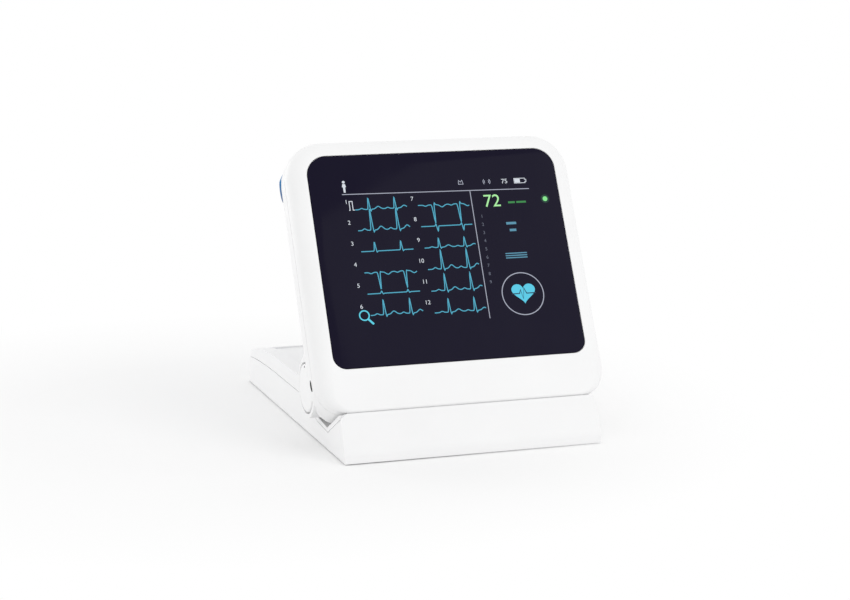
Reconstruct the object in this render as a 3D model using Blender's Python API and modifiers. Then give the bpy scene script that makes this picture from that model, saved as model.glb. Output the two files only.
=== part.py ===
"""Portable ECG monitor: a touch display unit hinged on a low battery base.

Metres, +Z up, front towards -Y. The display unit is modelled in its own frame, whose origin is the hinge axis:
x across, y from the front face to the back, z up along the face. The head_axis empty carries that frame.
"""

from math import acos, asin, cos, degrees, pi, radians, sin

import bmesh
import bpy
from mathutils import Matrix, Vector

for old in list(bpy.data.objects):
    bpy.data.objects.remove(old, do_unlink=True)

# Fits used all over
PART_GAP = 0.0003
CUT_OVERRUN = 0.002
WELD = 0.000001
ROUND_STEPS = 32
SMALL_ROUND_STEPS = 16
CORNER_STEPS = 6

# Touch glass
GLASS_WIDTH = 0.1400
GLASS_HEIGHT = 0.1170
GLASS_THICKNESS = 0.0011
GLASS_TOP_RADIUS = 0.0112
GLASS_BOTTOM_RADIUS = 0.0070
GLASS_SINK = 0.0001

# Display unit outside
SIDE_MARGIN = 0.0103
TOP_MARGIN = 0.0103
CHIN = 0.0234
HEAD_THICKNESS = 0.0228
HEAD_TOP_RADIUS = 0.0209
HEAD_BOTTOM_RADIUS = 0.0177
FRONT_SHELL_DEPTH = 0.0096
FRONT_EDGE_RADIUS = 0.0092
BOTTOM_EDGE_RADIUS = 0.0015
REAR_BOTTOM_EDGE_RADIUS = 0.0030
REAR_EDGE_RADIUS = 0.0060
EDGE_STEPS = 5
CAVITY_EDGE_STEPS = 2
SHELL_WALL = 0.0022
GLASS_POCKET_DEPTH = 0.0014
GLASS_LEDGE = 0.0020

# Hinge
FACE_TO_AXIS = 0.0339
HINGE_BACK = 0.0498
HINGE_HEIGHT = 0.0302
HEAD_TILT = radians(27.67)
KNUCKLE_RADIUS = 0.0160
KNUCKLE_INSET = 0.0030
KNUCKLE_WIDTH = 0.0243
KNUCKLE_FILLET = 0.0120
KNUCKLE_WALL = 0.0080
KNUCKLE_FOOT_RADIUS = 0.0030
BARREL_RADIUS = 0.0130
BARREL_END_WALL = 0.0092
BARREL_BORE_RADIUS = 0.0095
BARREL_CLEARANCE = 0.0005
TROUGH_CLEARANCE = 0.0008
PIN_RADIUS = 0.0030
PIN_BORE_RADIUS = 0.0018
PIN_HEAD_RADIUS = 0.0055
PIN_HEAD_THICKNESS = 0.0030
WASHER_RADIUS = 0.0090
WASHER_THICKNESS = 0.0012
CAP_RADIUS = 0.0128
CAP_THICKNESS = 0.0031
CAP_PROUD = 0.0009
CAP_DOME = 0.0008
CAP_PLUG_LENGTH = 0.0040
CAP_GROOVE_RADIUS = 0.0139
KNUCKLE_POCKET_RADIUS = 0.0108
RELIEF_RADIUS = 0.0172
RELIEF_START = 168.0
RELIEF_END = 204.0
RELIEF_DEPTH = 0.0060

# Screws of the display unit
HEAD_SCREW_ACROSS = 0.0670
HEAD_SCREW_LEVELS = (0.0360, 0.0940)
BOSS_RADIUS = 0.0034
SCREW_SHAFT_RADIUS = 0.0012
SCREW_HEAD_RADIUS = 0.0026
SCREW_HEAD_THICKNESS = 0.0016
HEAD_SCREW_GRIP = 0.0048
BASE_SCREW_GRIP = 0.0090
SCREW_SEAT_WALL = 0.0016
SCREW_SINK = 0.0006

# Display module and its electronics
ACTIVE_WIDTH = 0.1152
ACTIVE_HEIGHT = 0.0864
ACTIVE_LEVEL = 0.0585
WINDOW_MARGIN = 0.0012
WINDOW_RADIUS = 0.0020
PANEL_BORDER_SIDE = 0.0019
PANEL_BORDER_END = 0.0045
PANEL_THICKNESS = 0.0055
BRACKET_THICKNESS = 0.0012
BRACKET_OPENING_SHARE = 0.62
BRACKET_RADIUS = 0.0030
HEAD_BOARD_WIDTH = 0.1240
HEAD_BOARD_HEIGHT = 0.0780
HEAD_BOARD_THICKNESS = 0.0016
HEAD_BOARD_RADIUS = 0.0030
CHIP_THICKNESS = 0.0018
CHIP_SIDE = 0.0170
CHIP_PLACE_SHARES = ((-0.30, 0.16), (0.08, -0.20), (0.30, 0.22))
LIGHT_ACROSS = 0.0615
LIGHT_LEVEL = 0.0875
LIGHT_PIPE_RADIUS = 0.0014
SPEAKER_ACROSS = 0.0380
SPEAKER_LEVEL = 0.0700
SPEAKER_RADIUS = 0.0140
SPEAKER_THICKNESS = 0.0050
SPEAKER_MAGNET_RADIUS = 0.0080
SPEAKER_RIM = 0.0015
SLOT_COUNT = 5
SLOT_PITCH = 0.0040
SLOT_WIDTH = 0.0016
SLOT_LENGTH = 0.0180
SLOT_RADIUS = 0.0007

# Power button, on the right side
BUTTON_LEVEL = 0.0760
BUTTON_BEHIND_FACE = 0.0136
BUTTON_LENGTH = 0.0120
BUTTON_WIDTH = 0.0046
BUTTON_SINK = 0.0002
BUTTON_DEPTH = 0.0046
BUTTON_FLANGE = 0.0011
BUTTON_FLANGE_THICKNESS = 0.0009
BUTTON_TRAVEL = 0.0008
SWITCH_THICKNESS = 0.0032
SWITCH_LENGTH = 0.0090
SWITCH_WIDTH = 0.0050
SWITCH_POST = 0.0030

# Grip across the back of the display unit
GRIP_LEVEL = 0.1088
GRIP_CHORD = 0.0206
GRIP_RISE = 0.0067
GRIP_END_INSET = 0.0029
RIDGE_SOLID_REACH = 0.0021
GRIP_THICKNESS = 0.0026
GRIP_ROOT = 0.0012
GRIP_FLANK = 0.0004
GRIP_STEPS = 12

# Base outside
BASE_WIDTH = 0.1412
BASE_DEPTH = 0.2060
FOOT_PROUD = 0.0006
TOE_HEIGHT = 0.0036
TROUGH_DEPTH = 0.0280
LIP_SAG = 0.0006
LIP_LAND = 0.0026
LIP_CORNER_RADIUS = 0.0055
SEAM_GAP = 0.0003
RAIL_HEIGHT = 0.0279
RAIL_WIDTH = 0.0085
RAIL_FALL_LENGTH = 0.0524
RAIL_DROP = 0.0055
SHOULDER_BACK = 0.0130
REAR_CREASE_BACK = 0.0062
KNEE_BACK_SHARE = 0.86
KNEE_DROP_SHARE = 0.30
REAR_CREASE_HEIGHT = 0.0163
REAR_WALL_BULGE = 0.0014
REAR_TOE_HEIGHT = 0.0030
REAR_CORNER_RADIUS = 0.0035
RIM_HEIGHT = 0.0090
RIM_DROP = 0.0019
COVER_WALL = 0.0024
BASE_WALL = 0.0022
FLOOR_THICKNESS = 0.0024
DECK_SINK = 0.0055
DECK_THICKNESS = 0.0024
DECK_CORNER_RADIUS = 0.0060
DECK_FRONT_GAP = 0.0060
DECK_REAR_GAP = 0.0180
NECK_ROOM_REACH = 0.0080
CURVE_STEPS = 6

# Feet and base screws
FOOT_RADIUS = 0.0062
FOOT_THICKNESS = 0.0014
FOOT_EDGE = 0.0004
FOOT_SIDE_INSET = 0.0146
FOOT_FRONT_BACK = 0.0150
FOOT_REAR_INSET = 0.0220
BASE_SCREW_SIDE_INSET = 0.0116
BASE_SCREW_FRONT_INSET = 0.0800
BASE_SCREW_REAR_INSET = 0.0420
BASE_POST_HEIGHT = 0.0030

# Battery and its door
BATTERY_SIDE_ROOM = 0.0286
BATTERY_FRONT_ROOM = 0.0214
BATTERY_THICKNESS = 0.0135
BATTERY_REAR_ROOM = 0.0100
BATTERY_RADIUS = 0.0030
BAY_CLEARANCE = 0.0008
BAY_WALL = 0.0016
BAY_WALL_HEIGHT = 0.0110
DOOR_MARGIN = 0.0040
DOOR_THICKNESS = 0.0013
DOOR_TONGUE = 0.0100
DOOR_RADIUS = 0.0030

# Main board and sockets
MAIN_BOARD_SIDE_ROOM = 0.0166
MAIN_BOARD_DEPTH = 0.0360
MAIN_BOARD_THICKNESS = 0.0016
MAIN_BOARD_REAR_ROOM = 0.0220
MAIN_BOARD_HEIGHT = 0.0040
BOARD_POST_RADIUS = 0.0025
BOARD_POST_INSET = 0.0050
SHIELD_WIDTH = 0.0420
SHIELD_DEPTH = 0.0220
SHIELD_HEIGHT = 0.0045
SHIELD_WALL = 0.0006
SHIELD_ACROSS = 0.0200
PATIENT_ACROSS = -0.0300
PATIENT_WIDTH = 0.0340
PATIENT_HEIGHT = 0.0084
PATIENT_LENGTH = 0.0200
PATIENT_WALL = 0.0016
PATIENT_CAVITY = 0.0100
PATIENT_RADIUS = 0.0020
INLET_ACROSS = 0.0350
INLET_SIDE = 0.0086
INLET_LENGTH = 0.0160
INLET_BORE_RADIUS = 0.0032
INLET_BORE_DEPTH = 0.0110
INLET_PIN_RADIUS = 0.0010
INLET_PIN_LENGTH = 0.0050
SOCKET_FACE_BACK = 0.0075
SOCKET_LIFT = 0.0003

# Cable through the hinge
CABLE_RADIUS = 0.0013
CABLE_SPLIT_INSET = 0.0030
CABLE_DROP_ACROSS = 0.0141

# Worked out
HEAD_WIDTH = GLASS_WIDTH + 2 * SIDE_MARGIN
HEAD_HALF = HEAD_WIDTH / 2
HEAD_TOP = GLASS_HEIGHT + TOP_MARGIN
RIDGE_SOLID_END = HEAD_TOP_RADIUS + RIDGE_SOLID_REACH
FACE_Y = -FACE_TO_AXIS
REAR_Y = FACE_Y + HEAD_THICKNESS
TROUGH_Y = FACE_Y + TROUGH_DEPTH
PARTING_Y = FACE_Y + FRONT_SHELL_DEPTH
FRONT_INSIDE_Y = FACE_Y + GLASS_POCKET_DEPTH + GLASS_LEDGE
PANEL_Y = FRONT_INSIDE_Y + PART_GAP
BRACKET_Y = PANEL_Y + PANEL_THICKNESS + PART_GAP
HEAD_BOARD_Y = BRACKET_Y + BRACKET_THICKNESS + PART_GAP
KNUCKLE_OUTER = HEAD_HALF - KNUCKLE_INSET
KNUCKLE_INNER = KNUCKLE_OUTER - KNUCKLE_WIDTH
CABLE_SPLIT = KNUCKLE_INNER + CABLE_SPLIT_INSET
BARREL_HALF = KNUCKLE_INNER - WASHER_THICKNESS - 2 * PART_GAP
TROUGH_RADIUS = KNUCKLE_RADIUS + TROUGH_CLEARANCE
GROOVE_RADIUS = BARREL_RADIUS + BARREL_CLEARANCE
BASE_HALF = BASE_WIDTH / 2
FRONT_EDGE = -BASE_DEPTH / 2
REAR_EDGE = BASE_DEPTH / 2
HINGE_Y = FRONT_EDGE + HINGE_BACK
FLOOR_TOP = FOOT_PROUD + FLOOR_THICKNESS
DECK_HEIGHT = RAIL_HEIGHT - DECK_SINK
DECK_UNDERSIDE = DECK_HEIGHT - DECK_THICKNESS
RAIL_START = HINGE_Y + TROUGH_RADIUS
SHOULDER = REAR_EDGE - SHOULDER_BACK
RAIL_BEND = SHOULDER - RAIL_FALL_LENGTH
FOOT_ACROSS = BASE_HALF - FOOT_SIDE_INSET
FOOT_REAR_BACK = BASE_DEPTH - FOOT_REAR_INSET
BASE_SCREW_ACROSS = BASE_HALF - BASE_SCREW_SIDE_INSET
BASE_SCREW_BACKS = (BASE_SCREW_FRONT_INSET, BASE_DEPTH - BASE_SCREW_REAR_INSET)
MAIN_BOARD_WIDTH = BASE_WIDTH - 2 * MAIN_BOARD_SIDE_ROOM
MAIN_BOARD_BACK = BASE_DEPTH - MAIN_BOARD_REAR_ROOM - MAIN_BOARD_DEPTH / 2
BATTERY_WIDTH = BASE_WIDTH - 2 * BATTERY_SIDE_ROOM
BATTERY_FRONT = RAIL_START + BATTERY_FRONT_ROOM
BATTERY_REAR = FRONT_EDGE + MAIN_BOARD_BACK - MAIN_BOARD_DEPTH / 2 - BATTERY_REAR_ROOM
BATTERY_DEPTH = BATTERY_REAR - BATTERY_FRONT
BATTERY_BACK = (BATTERY_FRONT + BATTERY_REAR) / 2 - FRONT_EDGE

SIDE_PLANE = Matrix(((0, 0, 1, 0), (1, 0, 0, 0), (0, 1, 0, 0), (0, 0, 0, 1)))
FACE_PLANE = Matrix(((1, 0, 0, 0), (0, 0, 1, 0), (0, 1, 0, 0), (0, 0, 0, 1)))
FLOOR_PLANE = Matrix.Identity(4)

parts = bpy.data.collections.new("portable_ecg_monitor")
cutters = bpy.data.collections.new("cutters")
cutters.hide_render = True
for collection in (parts, cutters):
    bpy.context.scene.collection.children.link(collection)

head_axis = bpy.data.objects.new("head_axis", None)
head_axis.location = (0, HINGE_Y, HINGE_HEIGHT)
head_axis.rotation_euler = (-HEAD_TILT, 0, 0)
head_axis.empty_display_size = KNUCKLE_RADIUS
parts.objects.link(head_axis)


def finish(name, colour, roughness, metallic=0.0):
    """A Principled material of one colour."""
    material = bpy.data.materials.new(name)
    material.use_nodes = True
    shader = material.node_tree.nodes["Principled BSDF"]
    shader.inputs["Base Color"].default_value = (*colour, 1)
    shader.inputs["Roughness"].default_value = roughness
    shader.inputs["Metallic"].default_value = metallic
    return material


WHITE = (0.87, 0.875, 0.885)
BLACK = (0.016, 0.015, 0.026)
BLUE = (0.03, 0.24, 0.55)
BOARD_GREEN = (0.02, 0.16, 0.06)
STEEL = (0.60, 0.60, 0.62)
GREY = (0.20, 0.20, 0.21)
DARK = (0.03, 0.03, 0.03)


# Shapes
def arc(centre, radius, start, end, steps):
    """Points on a circle from start to end, in degrees, with both ends."""
    turns = [radians(start + (end - start) * step / steps) for step in range(steps + 1)]
    return [(centre[0] + radius * cos(turn), centre[1] + radius * sin(turn)) for turn in turns]


def bend(first, control, last, steps):
    """Points on a quadratic curve from first to last, with both ends."""
    points = []
    for step in range(steps + 1):
        share = step / steps
        weights = ((1 - share) ** 2, 2 * share * (1 - share), share**2)
        sources = (first, control, last)
        points.append(tuple(sum(w * p[axis] for w, p in zip(weights, sources)) for axis in (0, 1)))
    return points


def rounded(width, low, high, low_radius, high_radius, steps=CORNER_STEPS):
    """A rectangle centred across, from low to high, with its own radius at the lower and the upper corners."""
    half = width / 2
    corners = (
        ((half - low_radius, low + low_radius), low_radius, -90, 0),
        ((half - high_radius, high - high_radius), high_radius, 0, 90),
        ((-half + high_radius, high - high_radius), high_radius, 90, 180),
        ((-half + low_radius, low + low_radius), low_radius, 180, 270),
    )
    points = []
    for centre, radius, start, end in corners:
        points += arc(centre, radius, start, end, steps)
    return points


def moved(points, across, along):
    """The same outline, moved in its plane."""
    return [(x + across, y + along) for x, y in points]


def place(name, shape, material, parent=None, location=(0, 0, 0), smooth=30):
    """Puts a bmesh in the scene as an object. Without a material it is a cutter or another helper."""
    mesh = bpy.data.meshes.new(name)
    bmesh.ops.recalc_face_normals(shape, faces=shape.faces)
    shape.to_mesh(mesh)
    shape.free()
    mesh.shade_smooth()
    mesh.set_sharp_from_angle(angle=radians(smooth))
    thing = bpy.data.objects.new(name, mesh)
    thing.parent = parent
    thing.location = location
    if material is None:
        cutters.objects.link(thing)
        thing.hide_render = True
        thing.display_type = "WIRE"
    else:
        mesh.materials.append(material)
        parts.objects.link(thing)
    return thing


def prism(name, outline, low, high, plane, material=None, parent=None, location=(0, 0, 0)):
    """A flat outline as a filled curve, extruded from low to high, made a mesh and turned into its plane."""
    curve = bpy.data.curves.new(name, "CURVE")
    curve.dimensions = "2D"
    curve.fill_mode = "BOTH"
    curve.extrude = (high - low) / 2
    spline = curve.splines.new("POLY")
    spline.points.add(len(outline) - 1)
    for point, spot in zip(spline.points, outline):
        point.co = (*spot, 0, 1)
    spline.use_cyclic_u = True
    drawing = bpy.data.objects.new(name, curve)
    bpy.context.scene.collection.objects.link(drawing)
    graph = bpy.context.evaluated_depsgraph_get()
    mesh = bpy.data.meshes.new_from_object(drawing.evaluated_get(graph))
    shape = bmesh.new()
    shape.from_mesh(mesh)
    bpy.data.objects.remove(drawing)
    bpy.data.curves.remove(curve)
    bpy.data.meshes.remove(mesh)
    bmesh.ops.remove_doubles(shape, verts=shape.verts, dist=WELD)
    bmesh.ops.transform(shape, matrix=plane @ Matrix.Translation((0, 0, (low + high) / 2)), verts=shape.verts)
    return place(name, shape, material, parent, location)


def block(name, size, centre, material=None, parent=None):
    """A box of the given size, placed by its centre."""
    shape = bmesh.new()
    bmesh.ops.create_cube(shape, size=1)
    bmesh.ops.scale(shape, vec=size, verts=shape.verts)
    return place(name, shape, material, parent, centre)


def rod(name, radius, low, high, axis, spot, material=None, parent=None, steps=ROUND_STEPS):
    """A cylinder from low to high along an axis. spot is its place on the other two axes, in their order."""
    shape = bmesh.new()
    bmesh.ops.create_cone(shape, cap_ends=True, segments=steps, radius1=radius, radius2=radius, depth=high - low)
    middle = (low + high) / 2
    if axis == "X":
        turn, centre = Matrix.Rotation(pi / 2, 4, "Y"), (middle, *spot)
    elif axis == "Y":
        turn, centre = Matrix.Rotation(-pi / 2, 4, "X"), (spot[0], middle, spot[1])
    else:
        turn, centre = Matrix.Identity(4), (*spot, middle)
    bmesh.ops.transform(shape, matrix=turn, verts=shape.verts)
    return place(name, shape, material, parent, centre)


def loft(name, rings, material=None, parent=None):
    """Stitches rings of equally many points and closes both ends."""
    shape = bmesh.new()
    rows = [[shape.verts.new(point) for point in ring] for ring in rings]
    count = len(rows[0])
    for first, second in zip(rows, rows[1:]):
        for index in range(count):
            after = (index + 1) % count
            shape.faces.new((first[index], first[after], second[after], second[index]))
    shape.faces.new(reversed(rows[0]))
    shape.faces.new(rows[-1])
    return place(name, shape, material, parent)


def turned(name, profile, axis_turn, spot, material=None, parent=None, steps=ROUND_STEPS):
    """A turned piece: a profile of (radius, height), top to bottom on its outside, with a Screw modifier."""
    mesh = bpy.data.meshes.new(name)
    edges = [(index, index + 1) for index in range(len(profile) - 1)]
    mesh.from_pydata([(radius, 0, height) for radius, height in profile], edges, [])
    mesh.materials.append(material)
    thing = bpy.data.objects.new(name, mesh)
    thing.parent = parent
    thing.location = spot
    thing.rotation_euler = axis_turn
    screw = thing.modifiers.new("turn", "SCREW")
    screw.steps = steps
    screw.render_steps = steps
    screw.use_merge_vertices = True
    screw.merge_threshold = WELD
    screw.use_smooth_shade = True
    parts.objects.link(thing)
    return thing


def combine(target, helper, operation="DIFFERENCE"):
    """Cuts a helper out of a piece, or joins it on."""
    modifier = target.modifiers.new(helper.name, "BOOLEAN")
    modifier.operation = operation
    modifier.object = helper


def cut(target, *helpers):
    for helper in helpers:
        combine(target, helper)


def join(target, *helpers):
    for helper in helpers:
        combine(target, helper, "UNION")


def in_base(y, z):
    """A point of the display unit's side view, in the base's frame at rest."""
    back = HINGE_Y + y * cos(HEAD_TILT) + z * sin(HEAD_TILT)
    return back, HINGE_HEIGHT - y * sin(HEAD_TILT) + z * cos(HEAD_TILT)


def head_ring(side_inset, bottom_inset, side_depth, bottom_depth):
    """The display unit's outline, set in by one amount at the sides and top and by another at the bottom."""
    half, low, high = HEAD_HALF, -CHIN, HEAD_TOP
    corners = (
        (half - HEAD_BOTTOM_RADIUS, low + HEAD_BOTTOM_RADIUS, HEAD_BOTTOM_RADIUS, -90, 0, 1),
        (half - HEAD_TOP_RADIUS, high - HEAD_TOP_RADIUS, HEAD_TOP_RADIUS, 0, 1, 1),
        (-half + HEAD_TOP_RADIUS, high - HEAD_TOP_RADIUS, HEAD_TOP_RADIUS, 90, 1, 1),
        (-half + HEAD_BOTTOM_RADIUS, low + HEAD_BOTTOM_RADIUS, HEAD_BOTTOM_RADIUS, 180, 1, 0),
    )
    ring = []
    for centre_x, centre_z, radius, start, first, last in corners:
        for step in range(CORNER_STEPS + 1):
            share = step / CORNER_STEPS
            turn = radians(start + 90 * share)
            side_share = first + (last - first) * share
            reach = radius - bottom_inset - (side_inset - bottom_inset) * side_share
            depth = bottom_depth + (side_depth - bottom_depth) * side_share
            ring.append((centre_x + reach * cos(turn), depth, centre_z + reach * sin(turn)))
    return ring


def front_form(name, material):
    """The front shell's outer form, rounded towards the glass and nearly square at the bottom."""
    rings = []
    for step in range(EDGE_STEPS + 1):
        turn = pi / 2 * step / EDGE_STEPS
        insets = [edge * (1 - sin(turn)) for edge in (FRONT_EDGE_RADIUS, BOTTOM_EDGE_RADIUS)]
        depths = [FACE_Y + edge * (1 - cos(turn)) for edge in (FRONT_EDGE_RADIUS, BOTTOM_EDGE_RADIUS)]
        rings.append(head_ring(*insets, *depths))
    rings.append(head_ring(0, 0, PARTING_Y, PARTING_Y))
    return loft(name, rings, material, head_axis)


def front_cavity():
    """The front shell's inside: an even wall behind the rounding, from the glass ledge to the parting."""
    inner = FRONT_EDGE_RADIUS - SHELL_WALL
    first = acos(1 - (FRONT_INSIDE_Y - FACE_Y - SHELL_WALL) / inner)
    rings = []
    for step in range(CAVITY_EDGE_STEPS + 1):
        turn = first + (pi / 2 - first) * step / CAVITY_EDGE_STEPS
        inset = SHELL_WALL + inner * (1 - sin(turn))
        depth = FACE_Y + SHELL_WALL + inner * (1 - cos(turn))
        rings.append(head_ring(inset, SHELL_WALL, depth, depth))
    back = PARTING_Y + CUT_OVERRUN
    rings.append(head_ring(SHELL_WALL, SHELL_WALL, back, back))
    return loft("front_cavity", rings, None, head_axis)


def rear_form(name, material):
    """The rear cover's outer form, from the parting line to the rounded rear edge."""
    start = PARTING_Y + PART_GAP
    rings = [head_ring(0, 0, start, start)]
    for step in range(EDGE_STEPS + 1):
        turn = pi / 2 * step / EDGE_STEPS
        insets = [edge * (1 - cos(turn)) for edge in (REAR_EDGE_RADIUS, REAR_BOTTOM_EDGE_RADIUS)]
        depths = [REAR_Y - edge * (1 - sin(turn)) for edge in (REAR_EDGE_RADIUS, REAR_BOTTOM_EDGE_RADIUS)]
        rings.append(head_ring(*insets, *depths))
    return loft(name, rings, material, head_axis)


def rear_cavity():
    """The rear cover's inside, an even wall under the rounding."""
    inner = REAR_EDGE_RADIUS - SHELL_WALL
    start = PARTING_Y - CUT_OVERRUN
    rings = [head_ring(SHELL_WALL, SHELL_WALL, start, start)]
    for step in range(CAVITY_EDGE_STEPS + 1):
        turn = pi / 2 * step / CAVITY_EDGE_STEPS
        inset = SHELL_WALL + inner * (1 - cos(turn))
        depth = REAR_Y - SHELL_WALL - inner * (1 - sin(turn))
        rings.append(head_ring(inset, inset, depth, depth))
    return loft("rear_cavity", rings, None, head_axis)


# Screw places of the display unit, and the two sides
HEAD_SCREWS = [(side * HEAD_SCREW_ACROSS, level) for side in (-1, 1) for level in HEAD_SCREW_LEVELS]
SIDES = (("left", -1), ("right", 1))


def span(side, low, high):
    """A stretch across the object, mirrored for the left side."""
    return (low, high) if side > 0 else (-high, -low)


def make_front_shell():
    white = finish("front_shell_white", WHITE, 0.42)
    shell = front_form("head_front_shell", white)
    pocket = prism(
        "glass_pocket",
        rounded(
            GLASS_WIDTH + 2 * PART_GAP,
            -PART_GAP,
            GLASS_HEIGHT + PART_GAP,
            GLASS_BOTTOM_RADIUS + PART_GAP,
            GLASS_TOP_RADIUS + PART_GAP,
        ),
        FACE_Y - CUT_OVERRUN,
        FACE_Y + GLASS_POCKET_DEPTH,
        FACE_PLANE,
        parent=head_axis,
    )
    window_width = ACTIVE_WIDTH + 2 * WINDOW_MARGIN
    window_height = ACTIVE_HEIGHT + 2 * WINDOW_MARGIN
    window = prism(
        "display_window",
        rounded(
            window_width,
            ACTIVE_LEVEL - window_height / 2,
            ACTIVE_LEVEL + window_height / 2,
            WINDOW_RADIUS,
            WINDOW_RADIUS,
            2,
        ),
        FACE_Y - CUT_OVERRUN,
        FRONT_INSIDE_Y + CUT_OVERRUN,
        FACE_PLANE,
        parent=head_axis,
    )
    light_hole = rod(
        "light_hole",
        LIGHT_PIPE_RADIUS + PART_GAP,
        FACE_Y,
        FRONT_INSIDE_Y + CUT_OVERRUN,
        "Y",
        (LIGHT_ACROSS, LIGHT_LEVEL),
        parent=head_axis,
        steps=SMALL_ROUND_STEPS,
    )
    cut(shell, front_cavity())
    boss_start = FRONT_INSIDE_Y - GLASS_LEDGE / 2
    for number, spot in enumerate(HEAD_SCREWS, 1):
        boss = rod(
            f"head_boss_{number}", BOSS_RADIUS, boss_start, PARTING_Y - PART_GAP, "Y", spot, parent=head_axis,
            steps=SMALL_ROUND_STEPS,
        )
        join(shell, boss)
    cut(shell, pocket, window, light_hole)
    for number, spot in enumerate(HEAD_SCREWS, 1):
        hole = rod(
            f"head_boss_hole_{number}",
            SCREW_SHAFT_RADIUS + PART_GAP,
            PARTING_Y - HEAD_SCREW_GRIP - PART_GAP,
            PARTING_Y + CUT_OVERRUN,
            "Y",
            spot,
            parent=head_axis,
            steps=SMALL_ROUND_STEPS,
        )
        cut(shell, hole)
    return shell


def hub_relief(name, side):
    """The open slot beside the hinge cap, on its front side."""
    outline = arc((0, 0), RELIEF_RADIUS, RELIEF_START, RELIEF_END, CURVE_STEPS)
    outline += arc((0, 0), CAP_RADIUS, RELIEF_END, RELIEF_START, CURVE_STEPS)
    low, high = span(side, HEAD_HALF - RELIEF_DEPTH, HEAD_HALF + CUT_OVERRUN)
    return prism(name, outline, low, high, SIDE_PLANE, parent=head_axis)


def make_glass():
    outline = rounded(GLASS_WIDTH, 0, GLASS_HEIGHT, GLASS_BOTTOM_RADIUS, GLASS_TOP_RADIUS)
    front = FACE_Y + GLASS_SINK
    black = finish("touch_glass_black", BLACK, 0.12)
    return prism("touch_glass", outline, front, front + GLASS_THICKNESS, FACE_PLANE, black, head_axis)


def make_display():
    width = ACTIVE_WIDTH + 2 * PANEL_BORDER_SIDE
    height = ACTIVE_HEIGHT + 2 * PANEL_BORDER_END
    low, high = ACTIVE_LEVEL - height / 2, ACTIVE_LEVEL + height / 2
    outline = rounded(width, low, high, WINDOW_RADIUS, WINDOW_RADIUS, 2)
    dark = finish("display_panel_dark", DARK, 0.25)
    prism("display_panel", outline, PANEL_Y, PANEL_Y + PANEL_THICKNESS, FACE_PLANE, dark, head_axis)
    steel = finish("display_bracket_steel", STEEL, 0.35, 1.0)
    outline = rounded(width, low, high, BRACKET_RADIUS, BRACKET_RADIUS, 2)
    bracket = prism(
        "display_bracket", outline, BRACKET_Y, BRACKET_Y + BRACKET_THICKNESS, FACE_PLANE, steel, head_axis
    )
    reach = height * BRACKET_OPENING_SHARE / 2
    opening = prism(
        "bracket_opening",
        rounded(
            width * BRACKET_OPENING_SHARE, ACTIVE_LEVEL - reach, ACTIVE_LEVEL + reach, BRACKET_RADIUS, BRACKET_RADIUS, 2
        ),
        BRACKET_Y - CUT_OVERRUN,
        BRACKET_Y + BRACKET_THICKNESS + CUT_OVERRUN,
        FACE_PLANE,
        parent=head_axis,
    )
    cut(bracket, opening)


def make_head_board():
    low, high = ACTIVE_LEVEL - HEAD_BOARD_HEIGHT / 2, ACTIVE_LEVEL + HEAD_BOARD_HEIGHT / 2
    outline = rounded(HEAD_BOARD_WIDTH, low, high, HEAD_BOARD_RADIUS, HEAD_BOARD_RADIUS, 2)
    green = finish("board_green", BOARD_GREEN, 0.4)
    back = HEAD_BOARD_Y + HEAD_BOARD_THICKNESS
    board = prism("display_board", outline, HEAD_BOARD_Y, back, FACE_PLANE, green, head_axis)
    sunk = HEAD_BOARD_THICKNESS / 2
    for number, (across_share, along_share) in enumerate(CHIP_PLACE_SHARES, 1):
        centre = (
            across_share * HEAD_BOARD_WIDTH,
            back + (CHIP_THICKNESS - sunk) / 2,
            ACTIVE_LEVEL + along_share * HEAD_BOARD_HEIGHT,
        )
        chip = block(f"display_chip_{number}", (CHIP_SIDE, CHIP_THICKNESS + sunk, CHIP_SIDE), centre, parent=head_axis)
        join(board, chip)
    clear = finish("light_pipe_green", (0.10, 0.75, 0.30), 0.2)
    rod(
        "led_light_pipe",
        LIGHT_PIPE_RADIUS,
        FACE_Y + GLASS_SINK + GLASS_THICKNESS + PART_GAP,
        HEAD_BOARD_Y - PART_GAP,
        "Y",
        (LIGHT_ACROSS, LIGHT_LEVEL),
        clear,
        head_axis,
        SMALL_ROUND_STEPS,
    )


def cable_hole():
    """Lets the cable from the left knuckle's pocket into the display unit."""
    spot = (-cable_pocket(), 2 * CABLE_RADIUS)
    low, high = REAR_Y - SHELL_WALL - CUT_OVERRUN, REAR_Y + CUT_OVERRUN
    return rod("cable_hole", 2 * CABLE_RADIUS, low, high, "Y", spot, parent=head_axis, steps=SMALL_ROUND_STEPS)


def cable_pocket():
    """How far across the cable turns into the display unit."""
    return KNUCKLE_OUTER - CAP_THICKNESS - CAP_PLUG_LENGTH - 2 * CABLE_RADIUS


def add_switch_post(cover):
    """The button's opening in the side, and the post behind its switch."""
    button_hole = prism(
        "button_hole",
        button_outline(PART_GAP),
        HEAD_HALF - SHELL_WALL - CUT_OVERRUN,
        HEAD_HALF + CUT_OVERRUN,
        SIDE_PLANE,
        parent=head_axis,
    )
    cut(cover, button_hole)
    low = FACE_Y + BUTTON_BEHIND_FACE - SWITCH_WIDTH / 2
    high = REAR_Y - SHELL_WALL / 2
    switch_post = block(
        "switch_post",
        (SWITCH_POST, high - low, SWITCH_LENGTH),
        (switch_back() - SWITCH_POST / 2, (low + high) / 2, BUTTON_LEVEL),
        parent=head_axis,
    )
    join(cover, switch_post)


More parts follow.
